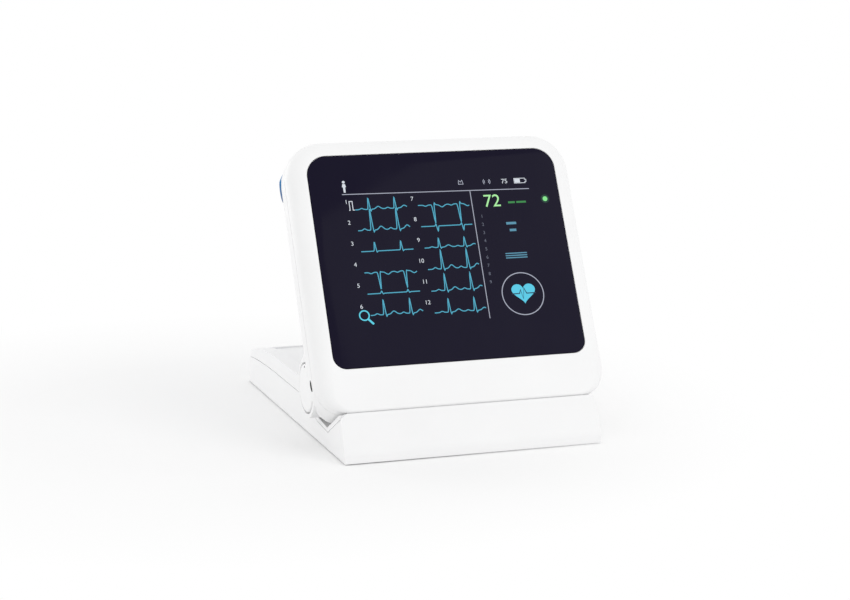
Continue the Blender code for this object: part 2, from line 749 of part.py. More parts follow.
def knuckle_outline():
    """Side view of a knuckle: round about the axis, with a hollow fillet up to the flat back."""
    fillet_y = REAR_Y + KNUCKLE_FILLET
    reach = KNUCKLE_RADIUS + KNUCKLE_FILLET
    fillet_z = (reach**2 - fillet_y**2) ** 0.5
    tangent = degrees(asin(fillet_z / reach))
    inside = REAR_Y - SHELL_WALL
    low = -degrees(asin(-REAR_Y / KNUCKLE_RADIUS)) - 90
    outline = [(inside, -((KNUCKLE_RADIUS**2 - REAR_Y**2) ** 0.5))]
    outline += arc((0, 0), KNUCKLE_RADIUS, low, tangent, 2 * CORNER_STEPS)
    outline += arc((fillet_y, fillet_z), KNUCKLE_FILLET, tangent + 180, 180, CURVE_STEPS)[1:]
    outline.append((inside, fillet_z))
    return outline


def knuckle_foot(name, low, high):
    """Fills the corner under a knuckle down to the bottom, inside the unit's rounded lower corner."""
    inside = REAR_Y - SHELL_WALL / 2
    top = -KNUCKLE_RADIUS / 2
    bottom = -CHIN + PART_GAP
    centre = (TROUGH_Y - KNUCKLE_FOOT_RADIUS, bottom + KNUCKLE_FOOT_RADIUS)
    outline = [(inside, top), (inside, bottom)]
    outline += arc(centre, KNUCKLE_FOOT_RADIUS, -90, 0, CURVE_STEPS)
    outline.append((TROUGH_Y, top))
    foot = prism(name, outline, low + PART_GAP, high - PART_GAP, SIDE_PLANE, parent=head_axis)
    inset = HEAD_HALF - KNUCKLE_OUTER + PART_GAP
    combine(foot, outline_block(f"{name}_corner", inset, 0), "INTERSECT")
    return foot


def outline_block(name, side_inset, bottom_inset):
    """A block of the display unit's outline, set in, that rounds the corners of the pieces on its back."""
    low, high = PARTING_Y, REAR_Y + GRIP_RISE + CUT_OVERRUN
    rings = [head_ring(side_inset, bottom_inset, depth, depth) for depth in (low, high)]
    return loft(name, rings, None, head_axis)


def make_rear_cover():
    cover = rear_form("head_rear_cover", finish("rear_cover_white", WHITE, 0.42))
    cavity = rear_cavity()
    groove_wall = rod(
        "groove_wall",
        GROOVE_RADIUS + SHELL_WALL,
        -KNUCKLE_INNER - SHELL_WALL,
        KNUCKLE_INNER + SHELL_WALL,
        "X",
        (0, 0),
        parent=head_axis,
    )
    cut(cavity, groove_wall)
    cut(cover, cavity)
    for word, side in SIDES:
        low, high = span(side, KNUCKLE_INNER, KNUCKLE_OUTER)
        knuckle = prism(f"knuckle_{word}", knuckle_outline(), low, high, SIDE_PLANE, parent=head_axis)
        join(cover, knuckle, knuckle_foot(f"knuckle_foot_{word}", low, high))
    groove = rod(
        "barrel_groove",
        GROOVE_RADIUS,
        -KNUCKLE_INNER,
        KNUCKLE_INNER,
        "X",
        (0, 0),
        parent=head_axis,
    )
    cut(cover, groove)
    for word, side in SIDES:
        low, high = span(side, KNUCKLE_INNER + KNUCKLE_WALL, KNUCKLE_OUTER + KNUCKLE_WIDTH)
        pocket = rod(f"knuckle_pocket_{word}", KNUCKLE_POCKET_RADIUS, low, high, "X", (0, 0), parent=head_axis)
        cut(cover, pocket)
        seat = KNUCKLE_OUTER + CAP_PROUD - CAP_THICKNESS - PART_GAP
        low, high = span(side, seat, KNUCKLE_OUTER + KNUCKLE_WIDTH)
        cut(cover, rod(f"cap_groove_{word}", CAP_GROOVE_RADIUS, low, high, "X", (0, 0), parent=head_axis))
        low, high = span(side, KNUCKLE_INNER - CUT_OVERRUN, KNUCKLE_INNER + KNUCKLE_WALL + CUT_OVERRUN)
        bore = rod(
            f"knuckle_bore_{word}", PIN_RADIUS + PART_GAP, low, high, "X", (0, 0), parent=head_axis,
            steps=SMALL_ROUND_STEPS,
        )
        cut(cover, bore)
        cut(cover, hub_relief(f"rear_relief_{word}", side))
    cut(cover, cable_hole())
    add_switch_post(cover)
    for number, (across, level) in enumerate(HEAD_SCREWS, 1):
        post = rod(
            f"rear_post_{number}", BOSS_RADIUS, PARTING_Y + PART_GAP, REAR_Y - SHELL_WALL / 2, "Y", (across, level),
            parent=head_axis, steps=SMALL_ROUND_STEPS,
        )
        join(cover, post)
        seat = PARTING_Y + PART_GAP + SCREW_SEAT_WALL
        well = rod(
            f"screw_well_{number}", SCREW_HEAD_RADIUS + PART_GAP, seat, REAR_Y + CUT_OVERRUN, "Y", (across, level),
            parent=head_axis, steps=SMALL_ROUND_STEPS,
        )
        hole = rod(
            f"screw_hole_{number}", SCREW_SHAFT_RADIUS + PART_GAP, PARTING_Y - CUT_OVERRUN, seat + CUT_OVERRUN, "Y",
            (across, level), parent=head_axis, steps=SMALL_ROUND_STEPS,
        )
        cut(cover, well, hole)
    for index in range(SLOT_COUNT):
        level = SPEAKER_LEVEL + (index - (SLOT_COUNT - 1) / 2) * SLOT_PITCH
        slot_shape = rounded(
            SLOT_LENGTH, level - SLOT_WIDTH / 2, level + SLOT_WIDTH / 2, SLOT_RADIUS, SLOT_RADIUS, 3
        )
        slot = prism(
            f"speaker_slot_{index + 1}",
            moved(slot_shape, SPEAKER_ACROSS, 0),
            REAR_Y - SHELL_WALL - CUT_OVERRUN / 2,
            REAR_Y + CUT_OVERRUN,
            FACE_PLANE,
            parent=head_axis,
        )
        cut(cover, slot)
    add_ridge(cover)
    root = prism(
        "grip_seat",
        grip_outline(PART_GAP),
        -HEAD_HALF,
        HEAD_HALF,
        SIDE_PLANE,
        parent=head_axis,
    )
    cut(cover, root)
    return cover


def grip_arc():
    """Centre and radius of the grip's outer side."""
    radius = ((GRIP_CHORD / 2) ** 2 + GRIP_RISE**2) / (2 * GRIP_RISE)
    return (REAR_Y + GRIP_RISE - radius, GRIP_LEVEL), radius


def ridge_outline(wall, depth):
    """Side view of the ridge under the grip, drawn in by a wall and let into the back by a depth."""
    centre, radius = grip_arc()
    reach = radius - GRIP_THICKNESS - wall
    inside = REAR_Y - depth
    opening = degrees(acos((REAR_Y + GRIP_FLANK - centre[0]) / reach))
    half = reach * sin(radians(opening))
    outline = arc(centre, reach, -opening, opening, GRIP_STEPS)
    return outline + [(inside, GRIP_LEVEL + half), (inside, GRIP_LEVEL - half)]


def add_ridge(cover):
    """The hollow ridge across the back that carries the grip."""
    half = HEAD_HALF - GRIP_END_INSET
    ridge = prism(
        "grip_ridge", ridge_outline(PART_GAP, SHELL_WALL / 2), -half, half, SIDE_PLANE, parent=head_axis
    )
    combine(ridge, outline_block("ridge_ends", GRIP_END_INSET, GRIP_END_INSET), "INTERSECT")
    join(cover, ridge)
    half = HEAD_HALF - RIDGE_SOLID_END
    hollow = prism(
        "ridge_hollow",
        ridge_outline(PART_GAP + SHELL_WALL, SHELL_WALL + CUT_OVERRUN),
        -half,
        half,
        SIDE_PLANE,
        parent=head_axis,
    )
    cut(cover, hollow)


def grip_outline(gap):
    """Side view of the arched grip, its two edges let into the back by the root depth."""
    centre, radius = grip_arc()
    outer, inner = radius + gap, radius - GRIP_THICKNESS - gap
    opening = degrees(acos((REAR_Y + GRIP_FLANK - centre[0]) / outer))
    inner_opening = degrees(acos((REAR_Y + GRIP_FLANK - centre[0]) / inner))
    outer_half = outer * sin(radians(opening))
    inner_half = inner * sin(radians(inner_opening))
    root = REAR_Y - GRIP_ROOT - gap
    outline = arc(centre, outer, -opening, opening, GRIP_STEPS)
    outline += [(root, GRIP_LEVEL + outer_half), (root, GRIP_LEVEL + inner_half)]
    outline += arc(centre, inner, inner_opening, -inner_opening, GRIP_STEPS)
    outline += [(root, GRIP_LEVEL - inner_half), (root, GRIP_LEVEL - outer_half)]
    return outline


def make_grip():
    blue = finish("grip_blue", BLUE, 0.35)
    half = HEAD_HALF - GRIP_END_INSET
    grip = prism("rear_grip", grip_outline(0), -half, half, SIDE_PLANE, blue, head_axis)
    combine(grip, outline_block("grip_ends", GRIP_END_INSET, GRIP_END_INSET), "INTERSECT")
    return grip


def make_speaker():
    dark = finish("speaker_dark", DARK, 0.6)
    back = REAR_Y - SHELL_WALL - PART_GAP
    middle = SPEAKER_THICKNESS / 2
    profile = (
        (0, 0),
        (SPEAKER_MAGNET_RADIUS, 0),
        (SPEAKER_RADIUS - SPEAKER_RIM, 0),
        (SPEAKER_RADIUS, -SPEAKER_RIM / 2),
        (SPEAKER_RADIUS, -middle),
        (SPEAKER_MAGNET_RADIUS, -middle),
        (SPEAKER_MAGNET_RADIUS, -SPEAKER_THICKNESS),
        (0, -SPEAKER_THICKNESS),
    )
    turned("speaker", profile, (-pi / 2, 0, 0), (SPEAKER_ACROSS, back, SPEAKER_LEVEL), dark, head_axis)


def button_outline(gap):
    """Side view of the power button, as a rounded bar."""
    half = BUTTON_WIDTH / 2 + gap
    steps = CORNER_STEPS
    reach = BUTTON_LENGTH / 2 - BUTTON_WIDTH / 2
    middle = FACE_Y + BUTTON_BEHIND_FACE
    outline = arc((middle, BUTTON_LEVEL + reach), half, 0, 180, steps)
    outline += arc((middle, BUTTON_LEVEL - reach), half, 180, 360, steps)
    return outline


def switch_back():
    """Where the switch ends inside, behind the button's travel."""
    return HEAD_HALF - BUTTON_SINK - BUTTON_DEPTH - BUTTON_TRAVEL - SWITCH_THICKNESS - 2 * PART_GAP


def make_power_button():
    grey = finish("power_button_grey", (0.55, 0.56, 0.58), 0.45)
    outer = HEAD_HALF - BUTTON_SINK
    middle = FACE_Y + BUTTON_BEHIND_FACE
    origin = Vector((HEAD_HALF, middle, BUTTON_LEVEL))
    outline = moved(button_outline(0), -middle, -BUTTON_LEVEL)
    button = prism(
        "power_button", outline, -BUTTON_SINK - BUTTON_DEPTH, -BUTTON_SINK, SIDE_PLANE, grey, head_axis, origin
    )
    flange_outline = moved(button_outline(BUTTON_FLANGE), -middle, -BUTTON_LEVEL)
    flange_top = -SHELL_WALL - 2 * PART_GAP
    flange = prism(
        "button_flange",
        flange_outline,
        flange_top - BUTTON_FLANGE_THICKNESS,
        flange_top,
        SIDE_PLANE,
        None,
        head_axis,
        origin,
    )
    join(button, flange)
    switch_top = outer - BUTTON_DEPTH - BUTTON_TRAVEL - PART_GAP
    block(
        "power_switch",
        (SWITCH_THICKNESS, SWITCH_WIDTH, SWITCH_LENGTH),
        (switch_top - SWITCH_THICKNESS / 2, middle, BUTTON_LEVEL),
        finish("switch_dark", GREY, 0.5),
        head_axis,
    )


def make_hinge_hardware():
    steel = finish("hinge_pin_steel", STEEL, 0.3, 1.0)
    white = finish("hinge_cap_white", WHITE, 0.40)
    bronze = finish("washer_dark", GREY, 0.5)
    head_start = KNUCKLE_INNER + KNUCKLE_WALL + PART_GAP
    shaft_start = BARREL_HALF - BARREL_END_WALL + PART_GAP
    pin_profile = (
        (PIN_BORE_RADIUS, head_start + PIN_HEAD_THICKNESS),
        (PIN_HEAD_RADIUS, head_start + PIN_HEAD_THICKNESS),
        (PIN_HEAD_RADIUS, head_start),
        (PIN_RADIUS, head_start),
        (PIN_RADIUS, shaft_start),
        (PIN_BORE_RADIUS, shaft_start),
        (PIN_BORE_RADIUS, head_start + PIN_HEAD_THICKNESS),
    )
    outer = KNUCKLE_OUTER + CAP_PROUD
    cap_seat = outer - CAP_THICKNESS
    plug_radius = KNUCKLE_POCKET_RADIUS - PART_GAP
    cap_profile = [(0, outer)]
    cap_profile += [(x, y) for x, y in arc((CAP_RADIUS - CAP_DOME, outer - CAP_DOME), CAP_DOME, 90, 0, 3)]
    cap_profile += [
        (CAP_RADIUS, cap_seat),
        (plug_radius, cap_seat),
        (plug_radius, cap_seat - CAP_PLUG_LENGTH),
        (0, cap_seat - CAP_PLUG_LENGTH),
    ]
    washer_start = BARREL_HALF + PART_GAP
    washer_profile = (
        (PIN_RADIUS + PART_GAP, washer_start + WASHER_THICKNESS),
        (WASHER_RADIUS, washer_start + WASHER_THICKNESS),
        (WASHER_RADIUS, washer_start),
        (PIN_RADIUS + PART_GAP, washer_start),
        (PIN_RADIUS + PART_GAP, washer_start + WASHER_THICKNESS),
    )
    for word, side in SIDES:
        turn = (0, side * pi / 2, 0)
        turned(f"hinge_pin_{word}", pin_profile, turn, (0, 0, 0), steel, head_axis, SMALL_ROUND_STEPS)
        turned(f"hinge_cap_{word}", cap_profile, turn, (0, 0, 0), white, head_axis)
        spot = (0, HINGE_Y, HINGE_HEIGHT)
        turned(f"friction_washer_{word}", washer_profile, turn, spot, bronze, None, SMALL_ROUND_STEPS)


def screw_profile(head_radius, head_thickness, shaft_radius, length):
    """A pan head screw, its head's underside at height zero."""
    edge = head_thickness / 3
    return (
        (0, head_thickness),
        (head_radius - edge, head_thickness),
        (head_radius, head_thickness - edge),
        (head_radius, 0),
        (shaft_radius, 0),
        (shaft_radius, -length),
        (0, -length - edge),
    )


def make_head_screws():
    steel = finish("screw_steel", STEEL, 0.35, 1.0)
    seat = PARTING_Y + PART_GAP + SCREW_SEAT_WALL + PART_GAP
    length = SCREW_SEAT_WALL + PART_GAP + HEAD_SCREW_GRIP - SCREW_SINK
    profile = screw_profile(SCREW_HEAD_RADIUS, SCREW_HEAD_THICKNESS, SCREW_SHAFT_RADIUS, length)
    for number, (across, level) in enumerate(HEAD_SCREWS, 1):
        turned(
            f"head_screw_{number}", profile, (-pi / 2, 0, 0), (across, seat, level), steel, head_axis, 12
        )


# Side view of the base
def lip_top():
    return in_base(FACE_Y, -CHIN - SEAM_GAP)


def lip_land(gap):
    """Where the lip ends on the trough and the top cover begins."""
    return in_base(FACE_Y + LIP_LAND - gap, -CHIN - SEAM_GAP)


def front_face():
    """The front lip, from the toe up, drawn in a little along its middle."""
    toe = (FRONT_EDGE, TOE_HEIGHT)
    top = lip_top()
    middle = ((toe[0] + top[0]) / 2 + LIP_SAG, (toe[1] + top[1]) / 2 - LIP_SAG)
    return [(FRONT_EDGE, FOOT_PROUD)] + bend(toe, middle, top, CURVE_STEPS)


def rail_line(drop, fall=RAIL_DROP):
    """The top of the side rails, level and then falling to the shoulder, lowered by a drop."""
    points = [(RAIL_BEND, RAIL_HEIGHT - drop)]
    for step in range(1, CURVE_STEPS + 1):
        share = step / CURVE_STEPS
        points.append((RAIL_BEND + share * (SHOULDER - RAIL_BEND), RAIL_HEIGHT - drop - fall * share**2))
    return points


def rear_wall():
    """The rear wall of the lower shell, from the crease down to the toe, a little bulged."""
    top = rear_crease(PART_GAP)
    toe = (REAR_EDGE, REAR_TOE_HEIGHT)
    middle = ((top[0] + toe[0]) / 2 + REAR_WALL_BULGE, (top[1] + toe[1]) / 2 + REAR_WALL_BULGE)
    return bend(top, middle, toe, CURVE_STEPS)[1:]


def rear_crease(gap):
    """Where the top cover ends on the rear wall."""
    fall = gap * (REAR_CREASE_HEIGHT - REAR_TOE_HEIGHT) / REAR_CREASE_HEIGHT
    out = gap * REAR_CREASE_BACK / REAR_CREASE_HEIGHT
    return (REAR_EDGE - REAR_CREASE_BACK + out, REAR_CREASE_HEIGHT - fall)


def parting_line(gap):
    """Between top cover and lower shell, from the lip to the rear wall. A gap lowers it for the shell."""
    wall = COVER_WALL + gap
    radius = TROUGH_RADIUS + wall
    level = RAIL_HEIGHT - RIM_HEIGHT - gap
    end = degrees(asin((level - HINGE_HEIGHT) / radius))
    points = [lip_land(gap), in_base(FACE_Y + LIP_LAND - gap, -CHIN - SEAM_GAP - wall)]
    points.append(in_base(TROUGH_Y, -CHIN - SEAM_GAP - wall))
    points += arc((HINGE_Y, HINGE_HEIGHT), radius, -90, end, CURVE_STEPS)
    points += rail_line(RIM_HEIGHT + gap, RIM_DROP)
    points.append(rear_crease(gap))
    return points


def trough_line():
    """Top of the cover: under the display unit, round the knuckles and up to the rails."""
    end = degrees(asin((RAIL_HEIGHT - HINGE_HEIGHT) / TROUGH_RADIUS))
    points = [in_base(TROUGH_Y, -CHIN - SEAM_GAP)]
    points += arc((HINGE_Y, HINGE_HEIGHT), TROUGH_RADIUS, -90, end, CURVE_STEPS)
    return points


def plan_outline(wall):
    """The base from above, square at the front and rounded at the rear."""
    radius = REAR_CORNER_RADIUS - wall
    half = BASE_HALF - wall
    front = FRONT_EDGE - CUT_OVERRUN if wall == 0 else FRONT_EDGE + wall
    outline = [(-half, front), (half, front)]
    outline += arc((half - radius, REAR_EDGE - wall - radius), radius, 0, 90, CORNER_STEPS)
    outline += arc((-half + radius, REAR_EDGE - wall - radius), radius, 90, 180, CORNER_STEPS)
    return outline


BASE_SCREWS = [(side * BASE_SCREW_ACROSS, FRONT_EDGE + back) for side in (-1, 1) for back in BASE_SCREW_BACKS]


def make_lower_shell():
    outline = front_face() + parting_line(PART_GAP) + rear_wall()
    outline.append((REAR_EDGE, FOOT_PROUD))
    white = finish("base_white", WHITE, 0.42)
    shell = prism("base_lower_shell", outline, -BASE_HALF, BASE_HALF, SIDE_PLANE, white)
    plan = prism("lower_plan", plan_outline(0), -CUT_OVERRUN, RAIL_HEIGHT + CUT_OVERRUN, FLOOR_PLANE)
    combine(shell, plan, "INTERSECT")
    lip = prism("lip_corners", lip_outline(), FRONT_EDGE - CUT_OVERRUN, REAR_EDGE + CUT_OVERRUN, FACE_PLANE)
    lip_zone = block(
        "lip_zone",
        (2 * BASE_WIDTH, HINGE_BACK, 2 * HINGE_HEIGHT),
        (0, FRONT_EDGE - HINGE_BACK / 2 + lip_land(0)[0] - FRONT_EDGE, HINGE_HEIGHT),
    )
    cut(lip_zone, lip)
    cut(shell, lip_zone)
    cavity_side = [
        (FRONT_EDGE + BASE_WALL, FLOOR_TOP),
        (FRONT_EDGE + BASE_WALL, TOE_HEIGHT + BASE_WALL),
        in_base(FACE_Y + LIP_LAND - PART_GAP, -CHIN - SEAM_GAP - COVER_WALL - BASE_WALL),
        (HINGE_Y, HINGE_HEIGHT),
        (REAR_EDGE - REAR_CREASE_BACK - 2 * BASE_WALL, HINGE_HEIGHT),
        (REAR_EDGE - REAR_CREASE_BACK - 2 * BASE_WALL, REAR_CREASE_HEIGHT - RIM_HEIGHT),
        (REAR_EDGE - 2 * BASE_WALL, REAR_TOE_HEIGHT + BASE_WALL),
        (REAR_EDGE - 2 * BASE_WALL, FLOOR_TOP),
    ]
    inner = BASE_HALF - BASE_WALL
    cavity = prism("lower_cavity", cavity_side, -inner, inner, SIDE_PLANE)
    cavity_plan = prism(
        "lower_cavity_plan", plan_outline(BASE_WALL), -CUT_OVERRUN, 2 * HINGE_HEIGHT, FLOOR_PLANE
    )
    combine(cavity, cavity_plan, "INTERSECT")
    cut(shell, cavity)
    add_bay(shell)
    post_start, post_top = FOOT_PROUD + FLOOR_THICKNESS / 2, FLOOR_TOP + BASE_POST_HEIGHT
    for number, (across, back) in enumerate(BASE_SCREWS, 1):
        post = rod(
            f"base_post_{number}", BOSS_RADIUS, post_start, post_top, "Z", (across, back), steps=SMALL_ROUND_STEPS
        )
        join(shell, post)
        well = rod(
            f"base_well_{number}", SCREW_HEAD_RADIUS + PART_GAP, -CUT_OVERRUN, post_top - SCREW_SEAT_WALL,
            "Z", (across, back), steps=SMALL_ROUND_STEPS,
        )
        hole = rod(
            f"base_hole_{number}", SCREW_SHAFT_RADIUS + PART_GAP, FOOT_PROUD, post_top + CUT_OVERRUN, "Z",
            (across, back), steps=SMALL_ROUND_STEPS,
        )
        cut(shell, well, hole)
    for number, spot in enumerate(FEET.values(), 1):
        seat = rod(
            f"foot_seat_{number}", FOOT_RADIUS + PART_GAP, -CUT_OVERRUN, FOOT_THICKNESS + PART_GAP, "Z", spot,
            steps=SMALL_ROUND_STEPS + 8,
        )
        cut(shell, seat)
    for number, spot in enumerate(board_posts(), 1):
        post = rod(
            f"board_post_{number}", BOARD_POST_RADIUS, post_start, MAIN_BOARD_HEIGHT - PART_GAP, "Z", spot,
            steps=SMALL_ROUND_STEPS,
        )
        join(shell, post)
    cut(shell, *socket_holes())
    return shell


def lip_outline():
    """Front view of the lip, with its two upper corners rounded."""
    top = lip_top()[1] + PART_GAP
    outline = [(-BASE_HALF - PART_GAP, -CUT_OVERRUN), (BASE_HALF + PART_GAP, -CUT_OVERRUN)]
    reach = BASE_HALF - LIP_CORNER_RADIUS
    outline += arc((reach, top - LIP_CORNER_RADIUS), LIP_CORNER_RADIUS, 0, 90, CORNER_STEPS)
    outline += arc((-reach, top - LIP_CORNER_RADIUS), LIP_CORNER_RADIUS, 90, 180, CORNER_STEPS)
    return outline


def battery_rect(grow, radius):
    """The battery's outline on the floor, grown all round."""
    back = FRONT_EDGE + BATTERY_BACK
    reach = BATTERY_DEPTH / 2 + grow
    return rounded(BATTERY_WIDTH + 2 * grow, back - reach, back + reach, radius, radius, 3)


def add_bay(shell):
    """The battery bay: a wall round the battery, and the door's opening in the floor."""
    wall = prism(
        "bay_wall",
        battery_rect(BAY_CLEARANCE + BAY_WALL, BATTERY_RADIUS + BAY_WALL),
        FOOT_PROUD + FLOOR_THICKNESS / 2,
        FLOOR_TOP + BAY_WALL_HEIGHT,
        FLOOR_PLANE,
    )
    room = prism(
        "bay_room",
        battery_rect(BAY_CLEARANCE, BATTERY_RADIUS),
        -CUT_OVERRUN,
        FLOOR_TOP + BAY_WALL_HEIGHT + CUT_OVERRUN,
        FLOOR_PLANE,
    )
    seat = prism(
        "door_seat",
        battery_rect(DOOR_MARGIN + PART_GAP, DOOR_RADIUS + PART_GAP),
        -CUT_OVERRUN,
        FOOT_PROUD + DOOR_THICKNESS + PART_GAP,
        FLOOR_PLANE,
    )
    seat_top = FOOT_PROUD + DOOR_THICKNESS + PART_GAP
    tongue = prism("tongue_seat", tongue_outline(PART_GAP), -CUT_OVERRUN, seat_top, FLOOR_PLANE)
    join(shell, wall)
    boss = rod(
        "door_boss", BOSS_RADIUS, FOOT_PROUD + FLOOR_THICKNESS / 2, FLOOR_TOP + BASE_SCREW_GRIP, "Z",
        door_screw_spot(), steps=SMALL_ROUND_STEPS,
    )
    join(shell, boss)
    cut(shell, room, seat, tongue)
    hole = rod(
        "door_boss_hole", SCREW_SHAFT_RADIUS + PART_GAP, -CUT_OVERRUN, FOOT_PROUD + BASE_SCREW_GRIP + PART_GAP,
        "Z", door_screw_spot(), steps=SMALL_ROUND_STEPS,
    )
    cut(shell, hole)


def door_screw_spot():
    """The door's one screw, on a tongue in front of the battery bay."""
    return (0, FRONT_EDGE + BATTERY_BACK - BATTERY_DEPTH / 2 - DOOR_MARGIN - DOOR_TONGUE / 2)


def tongue_outline(gap):
    """The door's screw tongue, seen from below."""
    across, back = door_screw_spot()
    half = DOOR_TONGUE / 2 + gap
    outline = [(half, back + 2 * half), (-half, back + 2 * half)]
    outline += arc((0, back), half, 180, 360, 2 * CORNER_STEPS)
    return outline


def make_battery():
    white = finish("battery_door_white", WHITE, 0.5)
    top = FOOT_PROUD + DOOR_THICKNESS
    door = prism("battery_door", battery_rect(DOOR_MARGIN, DOOR_RADIUS), FOOT_PROUD, top, FLOOR_PLANE, white)
    join(door, prism("door_tongue", tongue_outline(0), FOOT_PROUD, top, FLOOR_PLANE))
    head_room = rod(
        "door_hole", SCREW_SHAFT_RADIUS + PART_GAP, -CUT_OVERRUN, top + CUT_OVERRUN, "Z", door_screw_spot(),
        steps=SMALL_ROUND_STEPS,
    )
    cut(door, head_room)
    sink = SCREW_HEAD_THICKNESS / 4
    seat = rod(
        "door_screw_seat", SCREW_HEAD_RADIUS + PART_GAP, -CUT_OVERRUN, FOOT_PROUD + sink, "Z",
        door_screw_spot(), steps=SMALL_ROUND_STEPS,
    )
    cut(door, seat)
    steel = finish("door_screw_steel", STEEL, 0.35, 1.0)
    flat_head = FOOT_PROUD / 2
    profile = screw_profile(SCREW_HEAD_RADIUS, flat_head, SCREW_SHAFT_RADIUS, BASE_SCREW_GRIP - FOOT_PROUD)
    underside = FOOT_PROUD + sink - PART_GAP
    turned("battery_door_screw", profile, (pi, 0, 0), (*door_screw_spot(), underside), steel, None, 12)
    dark = finish("battery_dark", GREY, 0.55)
    low = FLOOR_TOP
    prism("battery_pack", battery_rect(0, BATTERY_RADIUS), low, low + BATTERY_THICKNESS, FLOOR_PLANE, dark)


def make_top_cover():
    outline = [lip_land(0)] + trough_line() + rail_line(0)
    crease = rear_crease(0)
    shoulder = rail_line(0)[-1]
    knee_back = shoulder[0] + (crease[0] - shoulder[0]) * KNEE_BACK_SHARE
    knee_level = shoulder[1] - (shoulder[1] - crease[1]) * KNEE_DROP_SHARE
    outline += bend(shoulder, (knee_back, knee_level), crease, 4)[1:-1]
    outline += list(reversed(parting_line(0)[1:]))
    white = finish("top_cover_white", WHITE, 0.42)
    cover = prism("base_top_cover", outline, -BASE_HALF, BASE_HALF, SIDE_PLANE, white)
    plan = prism("cover_plan", plan_outline(0), -CUT_OVERRUN, RAIL_HEIGHT + CUT_OVERRUN, FLOOR_PLANE)
    combine(cover, plan, "INTERSECT")
    add_deck(cover)
    add_barrel(cover)
    for number, (across, back) in enumerate(BASE_SCREWS, 1):
        low = FLOOR_TOP + BASE_POST_HEIGHT + PART_GAP
        boss = rod(
            f"cover_boss_{number}", BOSS_RADIUS, low, DECK_UNDERSIDE + DECK_THICKNESS / 2, "Z", (across, back),
            steps=SMALL_ROUND_STEPS,
        )
        join(cover, boss)
        hole = rod(
            f"cover_boss_hole_{number}", SCREW_SHAFT_RADIUS + PART_GAP, low - CUT_OVERRUN, low + BASE_SCREW_GRIP + PART_GAP,
            "Z", (across, back), steps=SMALL_ROUND_STEPS,
        )
        cut(cover, hole)
    return cover


def deck_outline(gap, corner, front, back):
    """A rounded rectangle on the base, drawn in from the outer sides by a gap."""
    return rounded(BASE_WIDTH - 2 * gap, front, back, corner, corner, CORNER_STEPS)


def add_deck(cover):
    """The sunk deck between the hollow rails, and the room under them."""
    inner = BASE_HALF - COVER_WALL
    front = RAIL_START + COVER_WALL
    crease = rear_crease(0)
    room_side = [
        (front, 0),
        (front, DECK_UNDERSIDE),
        (SHOULDER - COVER_WALL / 2, DECK_UNDERSIDE),
        (crease[0] - 2 * COVER_WALL, crease[1]),
        (crease[0] - 2 * COVER_WALL, 0),
    ]
    cut(cover, prism("cover_room", room_side, -inner, inner, SIDE_PLANE))
    rail_side = [(front, DECK_UNDERSIDE - CUT_OVERRUN), (front, RAIL_HEIGHT - COVER_WALL)]
    rail_side += rail_line(COVER_WALL)
    rail_side.append((SHOULDER - COVER_WALL, DECK_UNDERSIDE - CUT_OVERRUN))
    for word, side in SIDES:
        low, high = span(side, BASE_HALF - RAIL_WIDTH + COVER_WALL, inner)
        cut(cover, prism(f"rail_hollow_{word}", rail_side, low, high, SIDE_PLANE))
    recess = prism(
        "deck_recess",
        deck_outline(RAIL_WIDTH, DECK_CORNER_RADIUS, RAIL_START + DECK_FRONT_GAP, REAR_EDGE - DECK_REAR_GAP),
        DECK_HEIGHT,
        RAIL_HEIGHT + CUT_OVERRUN,
        FLOOR_PLANE,
    )
    cut(cover, recess)


def barrel_outline():
    """Side view of the base's barrel and the neck that carries it."""
    front = TROUGH_Y + BARREL_CLEARANCE
    low = -degrees(asin(-front / BARREL_RADIUS)) - 90 - degrees(HEAD_TILT)
    outline = [in_base(front, -CHIN - SEAM_GAP - COVER_WALL / 2)]
    outline += list(reversed(arc((HINGE_Y, HINGE_HEIGHT), BARREL_RADIUS, 0, 360 + low, 3 * CORNER_STEPS)))
    outline.append((RAIL_START, DECK_HEIGHT))
    outline.append((RAIL_START, DECK_UNDERSIDE))
    outline.append((HINGE_Y, HINGE_HEIGHT - TROUGH_RADIUS - COVER_WALL / 2))
    return outline


def add_barrel(cover):
    """The hollow hinge barrel between the knuckles, open to the inside of the base for the cable."""
    barrel = prism("barrel", barrel_outline(), -BARREL_HALF, BARREL_HALF, SIDE_PLANE)
    join(cover, barrel)
    inner = BARREL_HALF - BARREL_END_WALL
    spot = (HINGE_Y, HINGE_HEIGHT)
    cut(cover, rod("barrel_bore", BARREL_BORE_RADIUS, -inner, inner, "X", spot))
    pin_bore = rod(
        "pin_bore", PIN_RADIUS + PART_GAP, -BARREL_HALF - CUT_OVERRUN, BARREL_HALF + CUT_OVERRUN, "X", spot,
        steps=SMALL_ROUND_STEPS,
    )
    cut(cover, pin_bore)
    room_size = (2 * inner, 2 * NECK_ROOM_REACH, HINGE_HEIGHT)
    cut(cover, block("neck_room", room_size, (0, HINGE_Y, HINGE_HEIGHT / 2)))


def make_base_screws():
    steel = finish("base_screw_steel", STEEL, 0.35, 1.0)
    seat = FLOOR_TOP + BASE_POST_HEIGHT - SCREW_SEAT_WALL - PART_GAP
    length = SCREW_SEAT_WALL + 2 * PART_GAP + BASE_SCREW_GRIP - SCREW_SINK
    profile = screw_profile(SCREW_HEAD_RADIUS, SCREW_HEAD_THICKNESS, SCREW_SHAFT_RADIUS, length)
    for number, (across, back) in enumerate(BASE_SCREWS, 1):
        turned(f"base_screw_{number}", profile, (pi, 0, 0), (across, back, seat), steel, None, 12)


